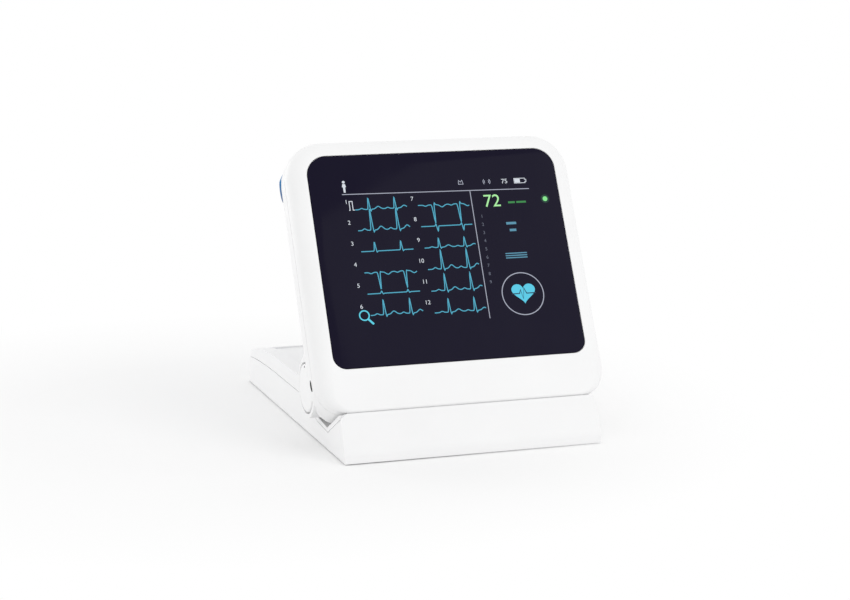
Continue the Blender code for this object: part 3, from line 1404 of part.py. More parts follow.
FEET = {
    "foot_front_left": (-FOOT_ACROSS, FRONT_EDGE + FOOT_FRONT_BACK),
    "foot_front_right": (FOOT_ACROSS, FRONT_EDGE + FOOT_FRONT_BACK),
    "foot_rear_left": (-FOOT_ACROSS, FRONT_EDGE + FOOT_REAR_BACK),
    "foot_rear_right": (FOOT_ACROSS, FRONT_EDGE + FOOT_REAR_BACK),
}


def make_feet():
    rubber = finish("foot_rubber", DARK, 0.8)
    profile = (
        (0, FOOT_THICKNESS),
        (FOOT_RADIUS, FOOT_THICKNESS),
        (FOOT_RADIUS, FOOT_EDGE),
        (FOOT_RADIUS - FOOT_EDGE, 0),
        (0, 0),
    )
    for name, spot in FEET.items():
        turned(name, profile, (0, 0, 0), (*spot, 0), rubber, None, SMALL_ROUND_STEPS + 8)


# Electronics of the base
def board_posts():
    """The four posts under the main board's corners."""
    reach_x = MAIN_BOARD_WIDTH / 2 - BOARD_POST_INSET
    reach_y = MAIN_BOARD_DEPTH / 2 - BOARD_POST_INSET
    middle = FRONT_EDGE + MAIN_BOARD_BACK
    return [(x, middle + y) for x in (-reach_x, reach_x) for y in (-reach_y, reach_y)]


def socket_holes():
    """Openings in the rear wall for the patient socket and the power inlet."""
    face = REAR_EDGE - SOCKET_FACE_BACK
    low = socket_floor()
    high = low + PATIENT_HEIGHT
    outline = rounded(
        PATIENT_WIDTH + 2 * PART_GAP, low - PART_GAP, high + PART_GAP, PATIENT_RADIUS, PATIENT_RADIUS, 3
    )
    patient = prism(
        "patient_hole",
        moved(outline, PATIENT_ACROSS, 0),
        face - PATIENT_LENGTH,
        REAR_EDGE + CUT_OVERRUN,
        FACE_PLANE,
    )
    length = INLET_LENGTH + SOCKET_FACE_BACK + CUT_OVERRUN
    inlet = block(
        "inlet_hole",
        (INLET_SIDE + 2 * PART_GAP, length, INLET_SIDE + 2 * PART_GAP),
        (INLET_ACROSS, REAR_EDGE + CUT_OVERRUN - length / 2, low + INLET_SIDE / 2),
    )
    return patient, inlet


def socket_floor():
    """The sockets stand on the main board."""
    return MAIN_BOARD_HEIGHT + MAIN_BOARD_THICKNESS + SOCKET_LIFT


def make_electronics():
    green = finish("main_board_green", BOARD_GREEN, 0.4)
    middle = FRONT_EDGE + MAIN_BOARD_BACK
    reach = MAIN_BOARD_DEPTH / 2
    outline = rounded(MAIN_BOARD_WIDTH, middle - reach, middle + reach, HEAD_BOARD_RADIUS, HEAD_BOARD_RADIUS, 2)
    top = MAIN_BOARD_HEIGHT + MAIN_BOARD_THICKNESS
    prism("main_board", outline, MAIN_BOARD_HEIGHT, top, FLOOR_PLANE, green)
    tin = finish("shield_tin", STEEL, 0.3, 1.0)
    low = top + PART_GAP
    shield_y = middle - reach + SHIELD_DEPTH / 2
    size = (SHIELD_WIDTH, SHIELD_DEPTH, SHIELD_HEIGHT)
    shield = block("shield_can", size, (-SHIELD_ACROSS, shield_y, low + SHIELD_HEIGHT / 2), tin)
    inside = block(
        "shield_room",
        (SHIELD_WIDTH - 2 * SHIELD_WALL, SHIELD_DEPTH - 2 * SHIELD_WALL, SHIELD_HEIGHT),
        (-SHIELD_ACROSS, shield_y, low + SHIELD_HEIGHT / 2 - SHIELD_WALL),
    )
    cut(shield, inside)
    face = REAR_EDGE - SOCKET_FACE_BACK
    dark = finish("socket_dark", DARK, 0.45)
    low = socket_floor()
    high = low + PATIENT_HEIGHT
    outline = moved(rounded(PATIENT_WIDTH, low, high, PATIENT_RADIUS, PATIENT_RADIUS, 3), PATIENT_ACROSS, 0)
    socket = prism("patient_socket", outline, face - PATIENT_LENGTH, face, FACE_PLANE, dark)
    room = prism(
        "patient_room",
        moved(
            rounded(
                PATIENT_WIDTH - 2 * PATIENT_WALL, low + PATIENT_WALL, high - PATIENT_WALL, PATIENT_RADIUS / 2,
                PATIENT_RADIUS / 2, 3,
            ),
            PATIENT_ACROSS,
            0,
        ),
        face - PATIENT_CAVITY,
        face + CUT_OVERRUN,
        FACE_PLANE,
    )
    cut(socket, room)
    inlet = block(
        "power_inlet",
        (INLET_SIDE, INLET_LENGTH, INLET_SIDE),
        (INLET_ACROSS, face - INLET_LENGTH / 2, low + INLET_SIDE / 2),
        finish("inlet_dark", DARK, 0.45),
    )
    spot = (INLET_ACROSS, low + INLET_SIDE / 2)
    bore_end = face - INLET_BORE_DEPTH
    bore = rod("inlet_bore", INLET_BORE_RADIUS, bore_end, face + CUT_OVERRUN, "Y", spot)
    pin = rod(
        "inlet_pin", INLET_PIN_RADIUS, bore_end - CUT_OVERRUN, bore_end + INLET_PIN_LENGTH, "Y", spot,
        steps=SMALL_ROUND_STEPS,
    )
    cut(inlet, bore)
    join(inlet, pin)


# Cable through the left pin
def route(points, steps):
    """Points on a smooth curve through the given ones."""
    ends = [points[0] * 2 - points[1], *points, points[-1] * 2 - points[-2]]
    made = []
    for index in range(1, len(ends) - 2):
        before, start, end, after = ends[index - 1 : index + 3]
        for step in range(steps):
            share = step / steps
            near = 2 * start + (end - before) * share
            bow = (2 * before - 5 * start + 4 * end - after) * share**2
            tail = (3 * start - before - 3 * end + after) * share**3
            made.append((near + bow + tail) / 2)
    made.append(points[-1])
    return made


def cable(name, points, parent):
    """A round cable along a route, as a curve with a bevel."""
    curve = bpy.data.curves.new(name, "CURVE")
    curve.dimensions = "3D"
    curve.bevel_depth = CABLE_RADIUS
    curve.bevel_resolution = 2
    curve.use_fill_caps = True
    spline = curve.splines.new("POLY")
    way = route([Vector(point) for point in points], 4)
    spline.points.add(len(way) - 1)
    for point, spot in zip(spline.points, way):
        point.co = (*spot, 1)
    curve.materials.append(finish(name + "_black", DARK, 0.6))
    thing = bpy.data.objects.new(name, curve)
    thing.parent = parent
    parts.objects.link(thing)


def make_cables():
    """The base's length ends inside the left pin, where the display unit's length begins."""
    past_bay = BATTERY_WIDTH / 2 + DOOR_MARGIN + 3 * CABLE_RADIUS
    board_front = FRONT_EDGE + MAIN_BOARD_BACK - MAIN_BOARD_DEPTH / 2
    low = FLOOR_TOP + 2 * CABLE_RADIUS
    board_level = MAIN_BOARD_HEIGHT + MAIN_BOARD_THICKNESS / 2
    under = HINGE_HEIGHT - TROUGH_RADIUS - COVER_WALL - 2 * CABLE_RADIUS
    inside = CABLE_DROP_ACROSS
    start = board_front - CABLE_RADIUS
    points = [
        (-past_bay, start, board_level),
        (-past_bay, start - BATTERY_DEPTH / 2, low),
        (-past_bay, HINGE_Y + 2 * TROUGH_RADIUS, low),
        (-inside - 2 * CABLE_RADIUS, HINGE_Y + TROUGH_RADIUS, (low + under) / 2),
        (-inside, HINGE_Y + CABLE_RADIUS, under),
        (-inside, HINGE_Y, HINGE_HEIGHT - BARREL_BORE_RADIUS),
        (-inside - BARREL_BORE_RADIUS, HINGE_Y, HINGE_HEIGHT),
        (-BARREL_HALF + BARREL_END_WALL, HINGE_Y, HINGE_HEIGHT),
        (-CABLE_SPLIT, HINGE_Y, HINGE_HEIGHT),
    ]
    cable("base_cable", points, None)
    turn = cable_pocket()
    board_back = HEAD_BOARD_Y + HEAD_BOARD_THICKNESS + PART_GAP + CABLE_RADIUS
    board_low = ACTIVE_LEVEL - HEAD_BOARD_HEIGHT / 2
    points = [
        (-CABLE_SPLIT - PART_GAP, 0, 0),
        (-turn + 2 * CABLE_RADIUS, 0, 0),
        (-turn, -3 * CABLE_RADIUS, 2 * CABLE_RADIUS),
        (-turn, board_back, 2 * CABLE_RADIUS),
        (-HEAD_BOARD_WIDTH / 2 + 2 * CABLE_RADIUS, board_back, board_low / 2),
        (-HEAD_BOARD_WIDTH / 2 + 4 * CABLE_RADIUS, board_back, board_low + 2 * CABLE_RADIUS),
    ]
    cable("head_cable", points, head_axis)


make_front_shell()
make_glass()
make_display()
make_head_board()
make_rear_cover()
make_grip()
make_speaker()
make_power_button()
make_hinge_hardware()
make_head_screws()
make_lower_shell()
make_top_cover()
make_battery()
make_base_screws()
make_feet()
make_electronics()
make_cables()
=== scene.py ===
"""Portable ECG monitor, seen from the front left on a pale surface: the finished looks of the CAD assembly.

Metres, +Z up, the screen faces -Y. The display unit is worked out in its own flat frame, whose origin is the hinge
axis: x across, y from the glass to the back, z up along the glass. The base is worked out where it stands.
"""

import math

import bmesh
import bpy
import numpy as np
from mathutils import Matrix, Vector


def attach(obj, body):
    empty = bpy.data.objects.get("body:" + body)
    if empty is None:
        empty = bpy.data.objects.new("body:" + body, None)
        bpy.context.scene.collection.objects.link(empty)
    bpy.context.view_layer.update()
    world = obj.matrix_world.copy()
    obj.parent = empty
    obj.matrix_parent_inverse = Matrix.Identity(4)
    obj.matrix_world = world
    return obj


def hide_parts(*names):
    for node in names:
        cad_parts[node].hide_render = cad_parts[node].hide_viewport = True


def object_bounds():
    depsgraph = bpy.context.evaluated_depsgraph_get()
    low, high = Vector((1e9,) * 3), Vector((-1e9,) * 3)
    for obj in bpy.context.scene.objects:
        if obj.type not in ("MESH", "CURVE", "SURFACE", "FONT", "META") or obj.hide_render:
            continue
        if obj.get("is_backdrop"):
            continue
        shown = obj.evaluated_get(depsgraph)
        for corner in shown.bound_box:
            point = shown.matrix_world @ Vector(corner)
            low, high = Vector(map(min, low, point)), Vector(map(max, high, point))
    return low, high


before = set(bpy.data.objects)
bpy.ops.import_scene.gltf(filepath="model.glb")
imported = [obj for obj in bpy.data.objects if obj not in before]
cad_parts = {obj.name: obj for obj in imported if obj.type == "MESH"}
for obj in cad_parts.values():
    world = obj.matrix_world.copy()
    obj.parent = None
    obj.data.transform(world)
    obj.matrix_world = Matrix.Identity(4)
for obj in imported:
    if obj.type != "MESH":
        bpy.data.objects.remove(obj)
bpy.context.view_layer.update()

# The view: a camera to the left of the front and a little above, at the photograph's own angle, about 1.1 m away.
# It has a long lens, no shift and no depth of field.
CAMERA_PLACE = (-0.35613, -1.07627, 0.2757)
CAMERA_LEFT = 18.6357
CAMERA_DOWN = 10.6089
CAMERA_LENS = 87.18
CAMERA_SENSOR = 36.0

lens = bpy.data.cameras.new("view")
lens.lens = CAMERA_LENS
lens.sensor_width = CAMERA_SENSOR
lens.clip_start, lens.clip_end = 0.05, 50.0
viewer = bpy.data.objects.new("view", lens)
viewer.location = CAMERA_PLACE
viewer.rotation_euler = (math.radians(90 - CAMERA_DOWN), 0, -math.radians(CAMERA_LEFT))
bpy.context.scene.collection.objects.link(viewer)
bpy.context.scene.camera = viewer


# The table and the light: a wide pale sheet in a white room, with a broad soft lamp above the front right and a second
# one low behind the left. The sheet takes the monitor's shadow near it and goes over into plain white further out.
class Value:
    """A shader socket, with the usual signs for sums on it. Each sign adds one Math node."""

    def __init__(self, shader, socket):
        self.shader, self.socket = shader, socket

    def math(self, operation, *others):
        return self.shader.node("ShaderNodeMath", {"operation": operation}, self, *others)

    def __add__(self, other):
        return self.math("ADD", other)

    def __sub__(self, other):
        return self.math("SUBTRACT", other)

    def __rsub__(self, other):
        return self.shader.node("ShaderNodeMath", {"operation": "SUBTRACT"}, other, self)

    def __mul__(self, other):
        return self.math("MULTIPLY", other)

    def __truediv__(self, other):
        return self.math("DIVIDE", other)

    __radd__ = __add__
    __rmul__ = __mul__

    def over(self, level, soft):
        """0 below a level and 1 above it, with a soft step as wide as said."""
        return ((self - level) / soft + 0.5).math("MINIMUM", 1.0).math("MAXIMUM", 0.0)

    def under(self, level, soft):
        """1 below a level and 0 above it."""
        return 1 - self.over(level, soft)


class Finish:
    """A material with its Principled shader. node() adds any node: its settings first, then its sockets in order."""

    def __init__(self, name, colour, roughness, metallic=0.0, **uniform):
        self.material = bpy.data.materials.new(name)
        self.material.use_nodes = True
        self.tree = self.material.node_tree
        self.shader = self.tree.nodes["Principled BSDF"]
        self.output = self.tree.nodes["Material Output"]
        self.set(base_color=(*colour, 1), roughness=roughness, metallic=metallic, **uniform)

    def set(self, **sockets):
        """Values or links for the Principled shader, by its sockets' names in small letters."""
        for name, value in sockets.items():
            title = " ".join(word.capitalize() for word in name.split("_")).replace("Ior", "IOR")
            self.feed(self.shader.inputs[title], value)

    def feed(self, socket, value):
        """Links a socket to a Value, or gives it a plain value of its own."""
        if isinstance(value, Value):
            self.tree.links.new(value.socket, socket)
        else:
            socket.default_value = value

    def node(self, kind, settings, *inputs, output=0, **named):
        made = self.tree.nodes.new(kind)
        for name, value in settings.items():
            setattr(made, name, value)
        for index, value in enumerate(inputs):
            self.feed(made.inputs[index], value)
        for name, value in named.items():
            self.feed(made.inputs[name.replace("_", " ")], value)
        return Value(self, made.outputs[output])

    def place(self):
        """Where a spot of the surface lies in its object's own axes."""
        return self.node("ShaderNodeTexCoord", {}, output="Object")

    def part(self, vector):
        """The three numbers of a place."""
        made = self.tree.nodes.new("ShaderNodeSeparateXYZ")
        self.feed(made.inputs[0], vector)
        return [Value(self, made.outputs[index]) for index in range(3)]

    def noise(self, scale, detail=2.0, rough=0.5, stretch=None):
        """Soft noise around 0.5, with scale grains to the metre. stretch squeezes it along each axis."""
        where = self.place()
        if stretch:
            where = self.node("ShaderNodeMapping", {}, Vector=where, Scale=stretch)
        return self.node("ShaderNodeTexNoise", {}, Vector=where, Scale=scale, Detail=detail, Roughness=rough)

    def tint(self, share, first, second):
        """Goes from the first colour to the second as the share goes from 0 to 1."""
        made = self.tree.nodes.new("ShaderNodeMix")
        made.data_type = "RGBA"
        self.feed(made.inputs[0], share)
        for socket, colour in ((made.inputs[6], first), (made.inputs[7], second)):
            self.feed(socket, colour if isinstance(colour, Value) else (*colour, 1))
        return Value(self, made.outputs[2])

    def bump(self, height, distance, strength):
        """Relief from a height of 0 to 1, which stands for a distance in metres."""
        bumped = self.node("ShaderNodeBump", {}, Strength=strength, Distance=distance, Height=height)
        self.set(normal=bumped)


TABLE_REACH = 6.0
TABLE_WHITE = (0.94, 0.94, 0.94)
TABLE_NEAR = 0.21
TABLE_FADE = 0.16
TABLE_CENTRE = (-0.09, 0.03, 0)

table_finish = Finish("pale_table", TABLE_WHITE, 0.9, specular_ior_level=0.0)
away = table_finish.node(
    "ShaderNodeVectorMath", {"operation": "DISTANCE"}, table_finish.place(), TABLE_CENTRE, output="Value"
)
seen = table_finish.node("ShaderNodeLightPath", {}, output="Is Camera Ray")
plain = table_finish.node("ShaderNodeEmission", {}, (1, 1, 1, 1), 1.0)
far = away.over(TABLE_NEAR, TABLE_FADE) * seen
matt = Value(table_finish, table_finish.shader.outputs[0])
mixed = table_finish.node("ShaderNodeMixShader", {}, far, matt, plain)
table_finish.tree.links.new(mixed.socket, table_finish.output.inputs["Surface"])
sheet = bpy.data.meshes.new("table")
corners = np.array([(-1, -1, 0), (1, -1, 0), (1, 1, 0), (-1, 1, 0)]) * TABLE_REACH
sheet.from_pydata(corners, [], [(0, 1, 2, 3)])
sheet.materials.append(table_finish.material)
table = bpy.data.objects.new("table", sheet)
bpy.context.scene.collection.objects.link(table)
table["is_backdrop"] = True

# The room shows plain white to the camera, in reflections and through clear pieces, and lights a little dimmer.
ROOM_LIGHT = 0.935

room = bpy.data.worlds.new("white_room")
room.use_nodes = True
bpy.context.scene.world = room
nodes, links = room.node_tree.nodes, room.node_tree.links
light = nodes["Background"]
light.inputs["Color"].default_value = (1, 1, 1, 1)
light.inputs["Strength"].default_value = ROOM_LIGHT
backdrop = nodes.new("ShaderNodeBackground")
backdrop.inputs["Color"].default_value = (1, 1, 1, 1)
path = nodes.new("ShaderNodeLightPath")
shown = path.outputs["Is Camera Ray"]
for ray in ("Is Glossy Ray", "Is Transmission Ray"):
    either = nodes.new("ShaderNodeMath")
    either.operation = "MAXIMUM"
    links.new(shown, either.inputs[0])
    links.new(path.outputs[ray], either.inputs[1])
    shown = either.outputs[0]
chosen = nodes.new("ShaderNodeMixShader")
links.new(shown, chosen.inputs[0])
links.new(light.outputs[0], chosen.inputs[1])
links.new(backdrop.outputs[0], chosen.inputs[2])
links.new(chosen.outputs[0], nodes["World Output"].inputs["Surface"])

LIT_PLACE = Vector((0, 0, 0.05))
for name, power, size, place in (
    ("soft_lamp", 4.1, 1.1, (0.80, -1.32, 1.12)),
    ("fill_lamp", 4.2, 0.9, (-1.05, 1.36, 0.40)),
):
    lamp = bpy.data.lights.new(name, "AREA")
    lamp.energy = power
    lamp.size = size
    holder = bpy.data.objects.new(name, lamp)
    holder.location = place
    holder.rotation_euler = (LIT_PLACE - Vector(place)).to_track_quat("-Z", "Y").to_euler()
    bpy.context.scene.collection.objects.link(holder)
bpy.context.scene.view_settings.view_transform = "Standard"


# The front shell: one white moulding of polycarbonate blend, rounded over from the glass to the parting line on three
# sides and nearly square at the bottom, with a pocket for the glass and a window for the picture behind it.
GLASS_WIDTH, GLASS_HEIGHT = 0.1400, 0.1170
GLASS_TOP_RADIUS, GLASS_BOTTOM_RADIUS = 0.0112, 0.0070
HALF, TOP, CHIN = 0.0803, 0.1273, 0.0234
TOP_RADIUS, BOTTOM_RADIUS = 0.0209, 0.0177
FACE_Y, PARTING_Y = -0.0339, -0.0243
FACE_ROUND, CHIN_ROUND = 0.0092, 0.0015
WALL = 0.0022
FIT = 0.0003
FLAT_HALF, FLAT_LOW, FLAT_HIGH, FLAT_LOW_RADIUS, FLAT_HIGH_RADIUS = 0.07095, -0.0140, 0.11795, 0.0080, 0.01185
POCKET_DEPTH, LEDGE = 0.0014, 0.0020
WINDOW_LOW, WINDOW_HIGH, WINDOW_HALF, WINDOW_RADIUS = 0.0141, 0.1029, 0.0588, 0.0020
EDGE_ROUND = 0.00025
ROUND_STEPS, INNER_STEPS, EDGE_STEPS = 15, 6, 5
HOUSING_WHITE = (0.905, 0.906, 0.908)

TILT = math.radians(27.67)
HINGE = Vector((0, -0.0532, 0.0302))
TO_ROW = Matrix.Translation(HINGE) @ Matrix.Rotation(-TILT, 4, "X")
CORNER_STEPS = 22
SAME_PLACE = 0.000002


def in_row(points):
    """Places of the display unit's flat frame, turned about the hinge axis to where they are at rest."""
    turn = np.array(TO_ROW)
    return np.asarray(points) @ turn[:3, :3].T + turn[:3, 3]


def corner_ring(half, low, high, low_radius, high_radius, side=(0, 0), end=(0, 0)):
    """A rectangle with round corners, as (x, y, z): each corner is a quarter circle about its own centre. side and end
    are (inset, depth): at the sides and top the outline is drawn in by side's inset and lies at side's depth, at the
    bottom it uses end's, and round the lower corners both go over from one to the other with the angle."""
    share = np.linspace(0, 1, CORNER_STEPS + 1)
    rows = []
    for x, z, radius, start, first, last in (
        (half - low_radius, low + low_radius, low_radius, -90, 0, 1),
        (half - high_radius, high - high_radius, high_radius, 0, 1, 1),
        (-half + high_radius, high - high_radius, high_radius, 90, 1, 1),
        (-half + low_radius, low + low_radius, low_radius, 180, 1, 0),
    ):
        turn = np.radians(start + 90 * share)
        of_side = first + (last - first) * share**2 * (3 - 2 * share)
        reach = radius - end[0] - (side[0] - end[0]) * of_side
        depth = end[1] + (side[1] - end[1]) * of_side
        rows.append(np.stack([x + reach * np.cos(turn), depth, z + reach * np.sin(turn)], 1))
    return np.concatenate(rows)


def outline_ring(side, end):
    """The display unit's own outline, drawn in and set back."""
    return corner_ring(HALF, -CHIN, TOP, BOTTOM_RADIUS, TOP_RADIUS, side, end)


def glass_ring(grow, depth):
    """The outline of the glass, grown all round, at one depth."""
    low, high = GLASS_BOTTOM_RADIUS + grow, GLASS_TOP_RADIUS + grow
    return corner_ring(GLASS_WIDTH / 2 + grow, -grow, GLASS_HEIGHT + grow, low, high, (0, depth), (0, depth))


def window_ring(grow, depth):
    """The outline of the window behind the glass, grown all round, at one depth."""
    low, high = WINDOW_LOW - grow, WINDOW_HIGH + grow
    radius = WINDOW_RADIUS + grow
    return corner_ring(WINDOW_HALF + grow, low, high, radius, radius, (0, depth), (0, depth))


def put(name, points, faces, finish, body, replaces=(), smooth=32):
    """Makes a piece of places in the row frame and of faces, with its finish, and says what it rides on."""
    mesh = bpy.data.meshes.new(name)
    mesh.from_pydata(np.asarray(points), [], faces)
    shape = bmesh.new()
    shape.from_mesh(mesh)
    bmesh.ops.remove_doubles(shape, verts=shape.verts, dist=SAME_PLACE)
    bmesh.ops.recalc_face_normals(shape, faces=shape.faces)
    shape.to_mesh(mesh)
    shape.free()
    mesh.shade_smooth()
    mesh.set_sharp_from_angle(angle=math.radians(smooth))
    mesh.materials.append(finish.material)
    piece = bpy.data.objects.new(name, mesh)
    bpy.context.scene.collection.objects.link(piece)
    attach(piece, body)
    if replaces:
        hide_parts(*replaces)
    return piece


def strips(rings, columns, closed=True):
    """Four-sided faces between rings of equally many places. closed joins the last ring to the first one."""
    ring, column = np.meshgrid(np.arange(rings if closed else rings - 1), np.arange(columns), indexing="ij")
    after, beside = (ring + 1) % rings, (column + 1) % columns
    corners = [ring * columns + column, ring * columns + beside, after * columns + beside, after * columns + column]
    return np.stack(corners, -1).reshape(-1, 4)


def moulded(name, colour, grain=0.00002, roughness=0.42):
    """Moulded plastic: a fine spark-eroded grain of about a third of a millimetre, slow waves in the gloss, and a
    colour that hardly changes over a hand's width."""
    finish = Finish(name, colour, roughness, specular_ior_level=0.35)
    cloud = finish.noise(22.0, 3.0)
    grey = tuple(0.965 * part for part in colour)
    finish.set(base_color=finish.tint(cloud.over(0.5, 0.6), grey, colour))
    finish.set(roughness=finish.noise(60.0, 3.0) * 0.16 + (roughness - 0.08))
    grains = finish.noise(3200.0, 2.0, 0.6) + finish.noise(900.0, 1.0) * 0.5
    finish.bump(grains, grain, 0.35)
    return finish


def quarter(first, last, count):
    """The angles of an arc's steps, from its ends in degrees."""
    return np.linspace(math.radians(first), math.radians(last), count)


housing = moulded("housing_white_moulded", HOUSING_WHITE)
rings = [outline_ring((0, PARTING_Y - EDGE_ROUND), (0, PARTING_Y - EDGE_ROUND))]
for turn in quarter(90, 0, ROUND_STEPS):
    side = (FACE_ROUND * (1 - math.sin(turn)), FACE_Y + FACE_ROUND * (1 - math.cos(turn)))
    end = (CHIN_ROUND * (1 - math.sin(turn)), FACE_Y + CHIN_ROUND * (1 - math.cos(turn)))
    rings.append(outline_ring(side, end))
flat = (0, FACE_Y)
rings.append(corner_ring(FLAT_HALF, FLAT_LOW, FLAT_HIGH, FLAT_LOW_RADIUS, FLAT_HIGH_RADIUS, flat, flat))
rings.append(glass_ring(FIT + 2 * EDGE_ROUND, FACE_Y))
for turn in quarter(90, 0, EDGE_STEPS):
    rings.append(glass_ring(FIT + EDGE_ROUND * (1 - math.cos(turn)), FACE_Y + EDGE_ROUND * (1 - math.sin(turn))))
inside = FACE_Y + POCKET_DEPTH + LEDGE
inner_round = FACE_ROUND - WALL
rings += [glass_ring(FIT, FACE_Y + POCKET_DEPTH), window_ring(0, FACE_Y + POCKET_DEPTH), window_ring(0, inside)]
start = math.degrees(math.acos(1 - (inside - FACE_Y - WALL) / inner_round))
for turn in quarter(start, 90, INNER_STEPS):
    inset, depth = WALL + inner_round * (1 - math.sin(turn)), FACE_Y + WALL + inner_round * (1 - math.cos(turn))
    rings.append(outline_ring((inset, depth), (WALL, depth)))
rings.append(outline_ring((WALL, PARTING_Y), (WALL, PARTING_Y)))
rings.append(outline_ring((EDGE_ROUND, PARTING_Y), (EDGE_ROUND, PARTING_Y)))
points = in_row(np.concatenate(rings))
faces = strips(len(rings), len(rings[0])).tolist()
put("front_shell", points, faces, housing, "head", ["head_front_shell"])


# The touch glass: a pane of hardened glass, printed black on its back, lying a hair below the shell's front face.
# Its edge is ground to a small round, and fingers have left faint smears on it.
PANE_SINK, PANE_THICKNESS, PANE_EDGE = 0.0001, 0.0011, 0.00018
PANE_BLACK, PANE_SMEARED = (0.0071, 0.0056, 0.0179), (0.0105, 0.0090, 0.0215)
PANE_FRONT = FACE_Y + PANE_SINK

glass = Finish("touch_glass_printed_black", PANE_BLACK, 0.08, specular_ior_level=0.055)
smear = glass.noise(26.0, 4.0, 0.6, stretch=(1.0, 1.0, 0.45)).over(0.62, 0.35)
dust = glass.noise(1400.0, 1.0).over(0.80, 0.06)
glass.set(roughness=0.07 + smear * 0.09 + dust * 0.2)
glass.set(base_color=glass.tint(smear * 0.5, PANE_BLACK, PANE_SMEARED))
glass.bump(glass.noise(9.0, 1.0), 0.00002, 0.15)
back = PANE_FRONT + PANE_THICKNESS
rings = [glass_ring(0, back)]
for turn in quarter(0, 90, EDGE_STEPS):
    rings.append(glass_ring(-PANE_EDGE * (1 - math.cos(turn)), PANE_FRONT + PANE_EDGE * (1 - math.sin(turn))))
count = len(rings[0])
faces = strips(len(rings), count, closed=False).tolist()
faces += [list(range(count)), list(range((len(rings) - 1) * count, len(rings) * count))]
points = in_row(np.concatenate(rings))
put("touch_glass_pane", points, faces, glass, "head", ["touch_glass"], smooth=50)


# The picture: what the lit display shows through the glass. Thin lines and figures, each as a flat strip of its own
# light: twelve plain heart traces with plain row numbers, a pulse number, a battery and a heart in a ring.
# Places on the screen are (u, v): across from its middle and up from the pane's foot, in widths of the pane.
UNIT = 0.14
PICTURE_LIFT, PICTURE_THICK = 0.00002, 0.00003
CAPITAL_SHARE = 0.7
TRACE_WIDTH, RULE_WIDTH, FINE_WIDTH, RING_WIDTH = 0.00052, 0.00042, 0.000336, 0.00050
HEART_LINE_WIDTH, SIGN_WIDTH, HANDLE_WIDTH = 0.00055, 0.0007, 0.0011
BAR_WIDTH, MENU_WIDTH, MENU_FINE_WIDTH = 0.0011, 0.0014, 0.0006
LABEL_HEIGHT, LIST_HEIGHT, RATE_HEIGHT, PULSE_HEIGHT = 0.0023, 0.0018, 0.0026, 0.0070


def srgb(red, green, blue):
    """A colour of the screen, 0 to 255, as the shader's linear numbers."""
    shares = np.array([red, green, blue]) / 255
    linear = np.where(shares < 0.04045, shares / 12.92, ((shares + 0.055) / 1.055) ** 2.4)
    return tuple(float(part) for part in linear)


def slab(outline_points, outline_faces):
    """A flat drawing (x, z) made a thin closed plate in front of the glass: the faces, their back and a rim round the
    sides that only one face has."""
    flat = np.asarray(outline_points, float)
    count = len(flat)
    depth = PANE_FRONT - PICTURE_LIFT
    near = np.stack([flat[:, 0], np.full(count, depth - PICTURE_THICK), flat[:, 1]], 1)
    far = np.stack([flat[:, 0], np.full(count, depth), flat[:, 1]], 1)
    sides = dict.fromkeys(side for face in outline_faces for side in zip(face, (*face[1:], face[0])))
    rim = [(a, b, b + count, a + count) for a, b in sides if (b, a) not in sides]
    faces = [tuple(face) for face in outline_faces]
    faces += [tuple(index + count for index in reversed(face)) for face in outline_faces] + rim
    return np.concatenate([near, far]), faces


def stroke(line, width, loop=False):
    """A strip along a line of (u, v) places: each place is moved half a width to both sides along the mean of its two
    neighbouring directions' normals, and further where the line turns, up to a sharp corner's limit."""
    line = np.asarray(line, float) * UNIT
    step = np.roll(line, -1, 0) - line if loop else np.diff(line, axis=0)
    step /= np.linalg.norm(step, axis=1)[:, None]
    before = np.roll(step, 1, 0) if loop else np.concatenate([step[:1], step])
    after = step if loop else np.concatenate([step, step[-1:]])
    mean = before + after
    mean /= np.maximum(np.linalg.norm(mean, axis=1), 0.2)[:, None]
    normal = np.stack([-mean[:, 1], mean[:, 0]], 1)
    turn = np.maximum((mean * after).sum(1), 0.55)[:, None]
    left, right = line + normal * width / 2 / turn, line - normal * width / 2 / turn
    count = len(line)
    index = np.arange(count if loop else count - 1)
    after_index = (index + 1) % count
    faces = np.stack([index, after_index, after_index + count, index + count], 1)
    return slab(np.concatenate([left, right]), faces.tolist())


def lettering(text, height, across, level):
    """Figures of the built-in plain type, of a height, with their middle on a place of the screen in (u, v)."""
    curve = bpy.data.curves.new(text, "FONT")
    curve.body = text
    curve.size = height / CAPITAL_SHARE
    curve.resolution_u = 4
    drawing = bpy.data.objects.new(text, curve)
    bpy.context.scene.collection.objects.link(drawing)
    mesh = bpy.data.meshes.new_from_object(drawing.evaluated_get(bpy.context.evaluated_depsgraph_get()))
    flat = np.zeros(len(mesh.vertices) * 3)
    mesh.vertices.foreach_get("co", flat)
    flat = flat.reshape(-1, 3)[:, :2]
    faces = [tuple(face.vertices) for face in mesh.polygons]
    bpy.data.objects.remove(drawing)
    bpy.data.curves.remove(curve)
    bpy.data.meshes.remove(mesh)
    flat -= (flat.min(0) + flat.max(0)) / 2
    return slab(flat + np.array([across, level]) * UNIT, faces)


def polygon(line):
    """A filled shape from its corners in (u, v)."""
    return slab(np.asarray(line, float) * UNIT, [tuple(range(len(line)))])


def circle(across, level, radius, count):
    """Places round a circle, all in (u, v)."""
    turn = np.linspace(0, 2 * math.pi, count, endpoint=False)
    return np.stack([across + radius * np.cos(turn), level + radius * np.sin(turn)], 1)


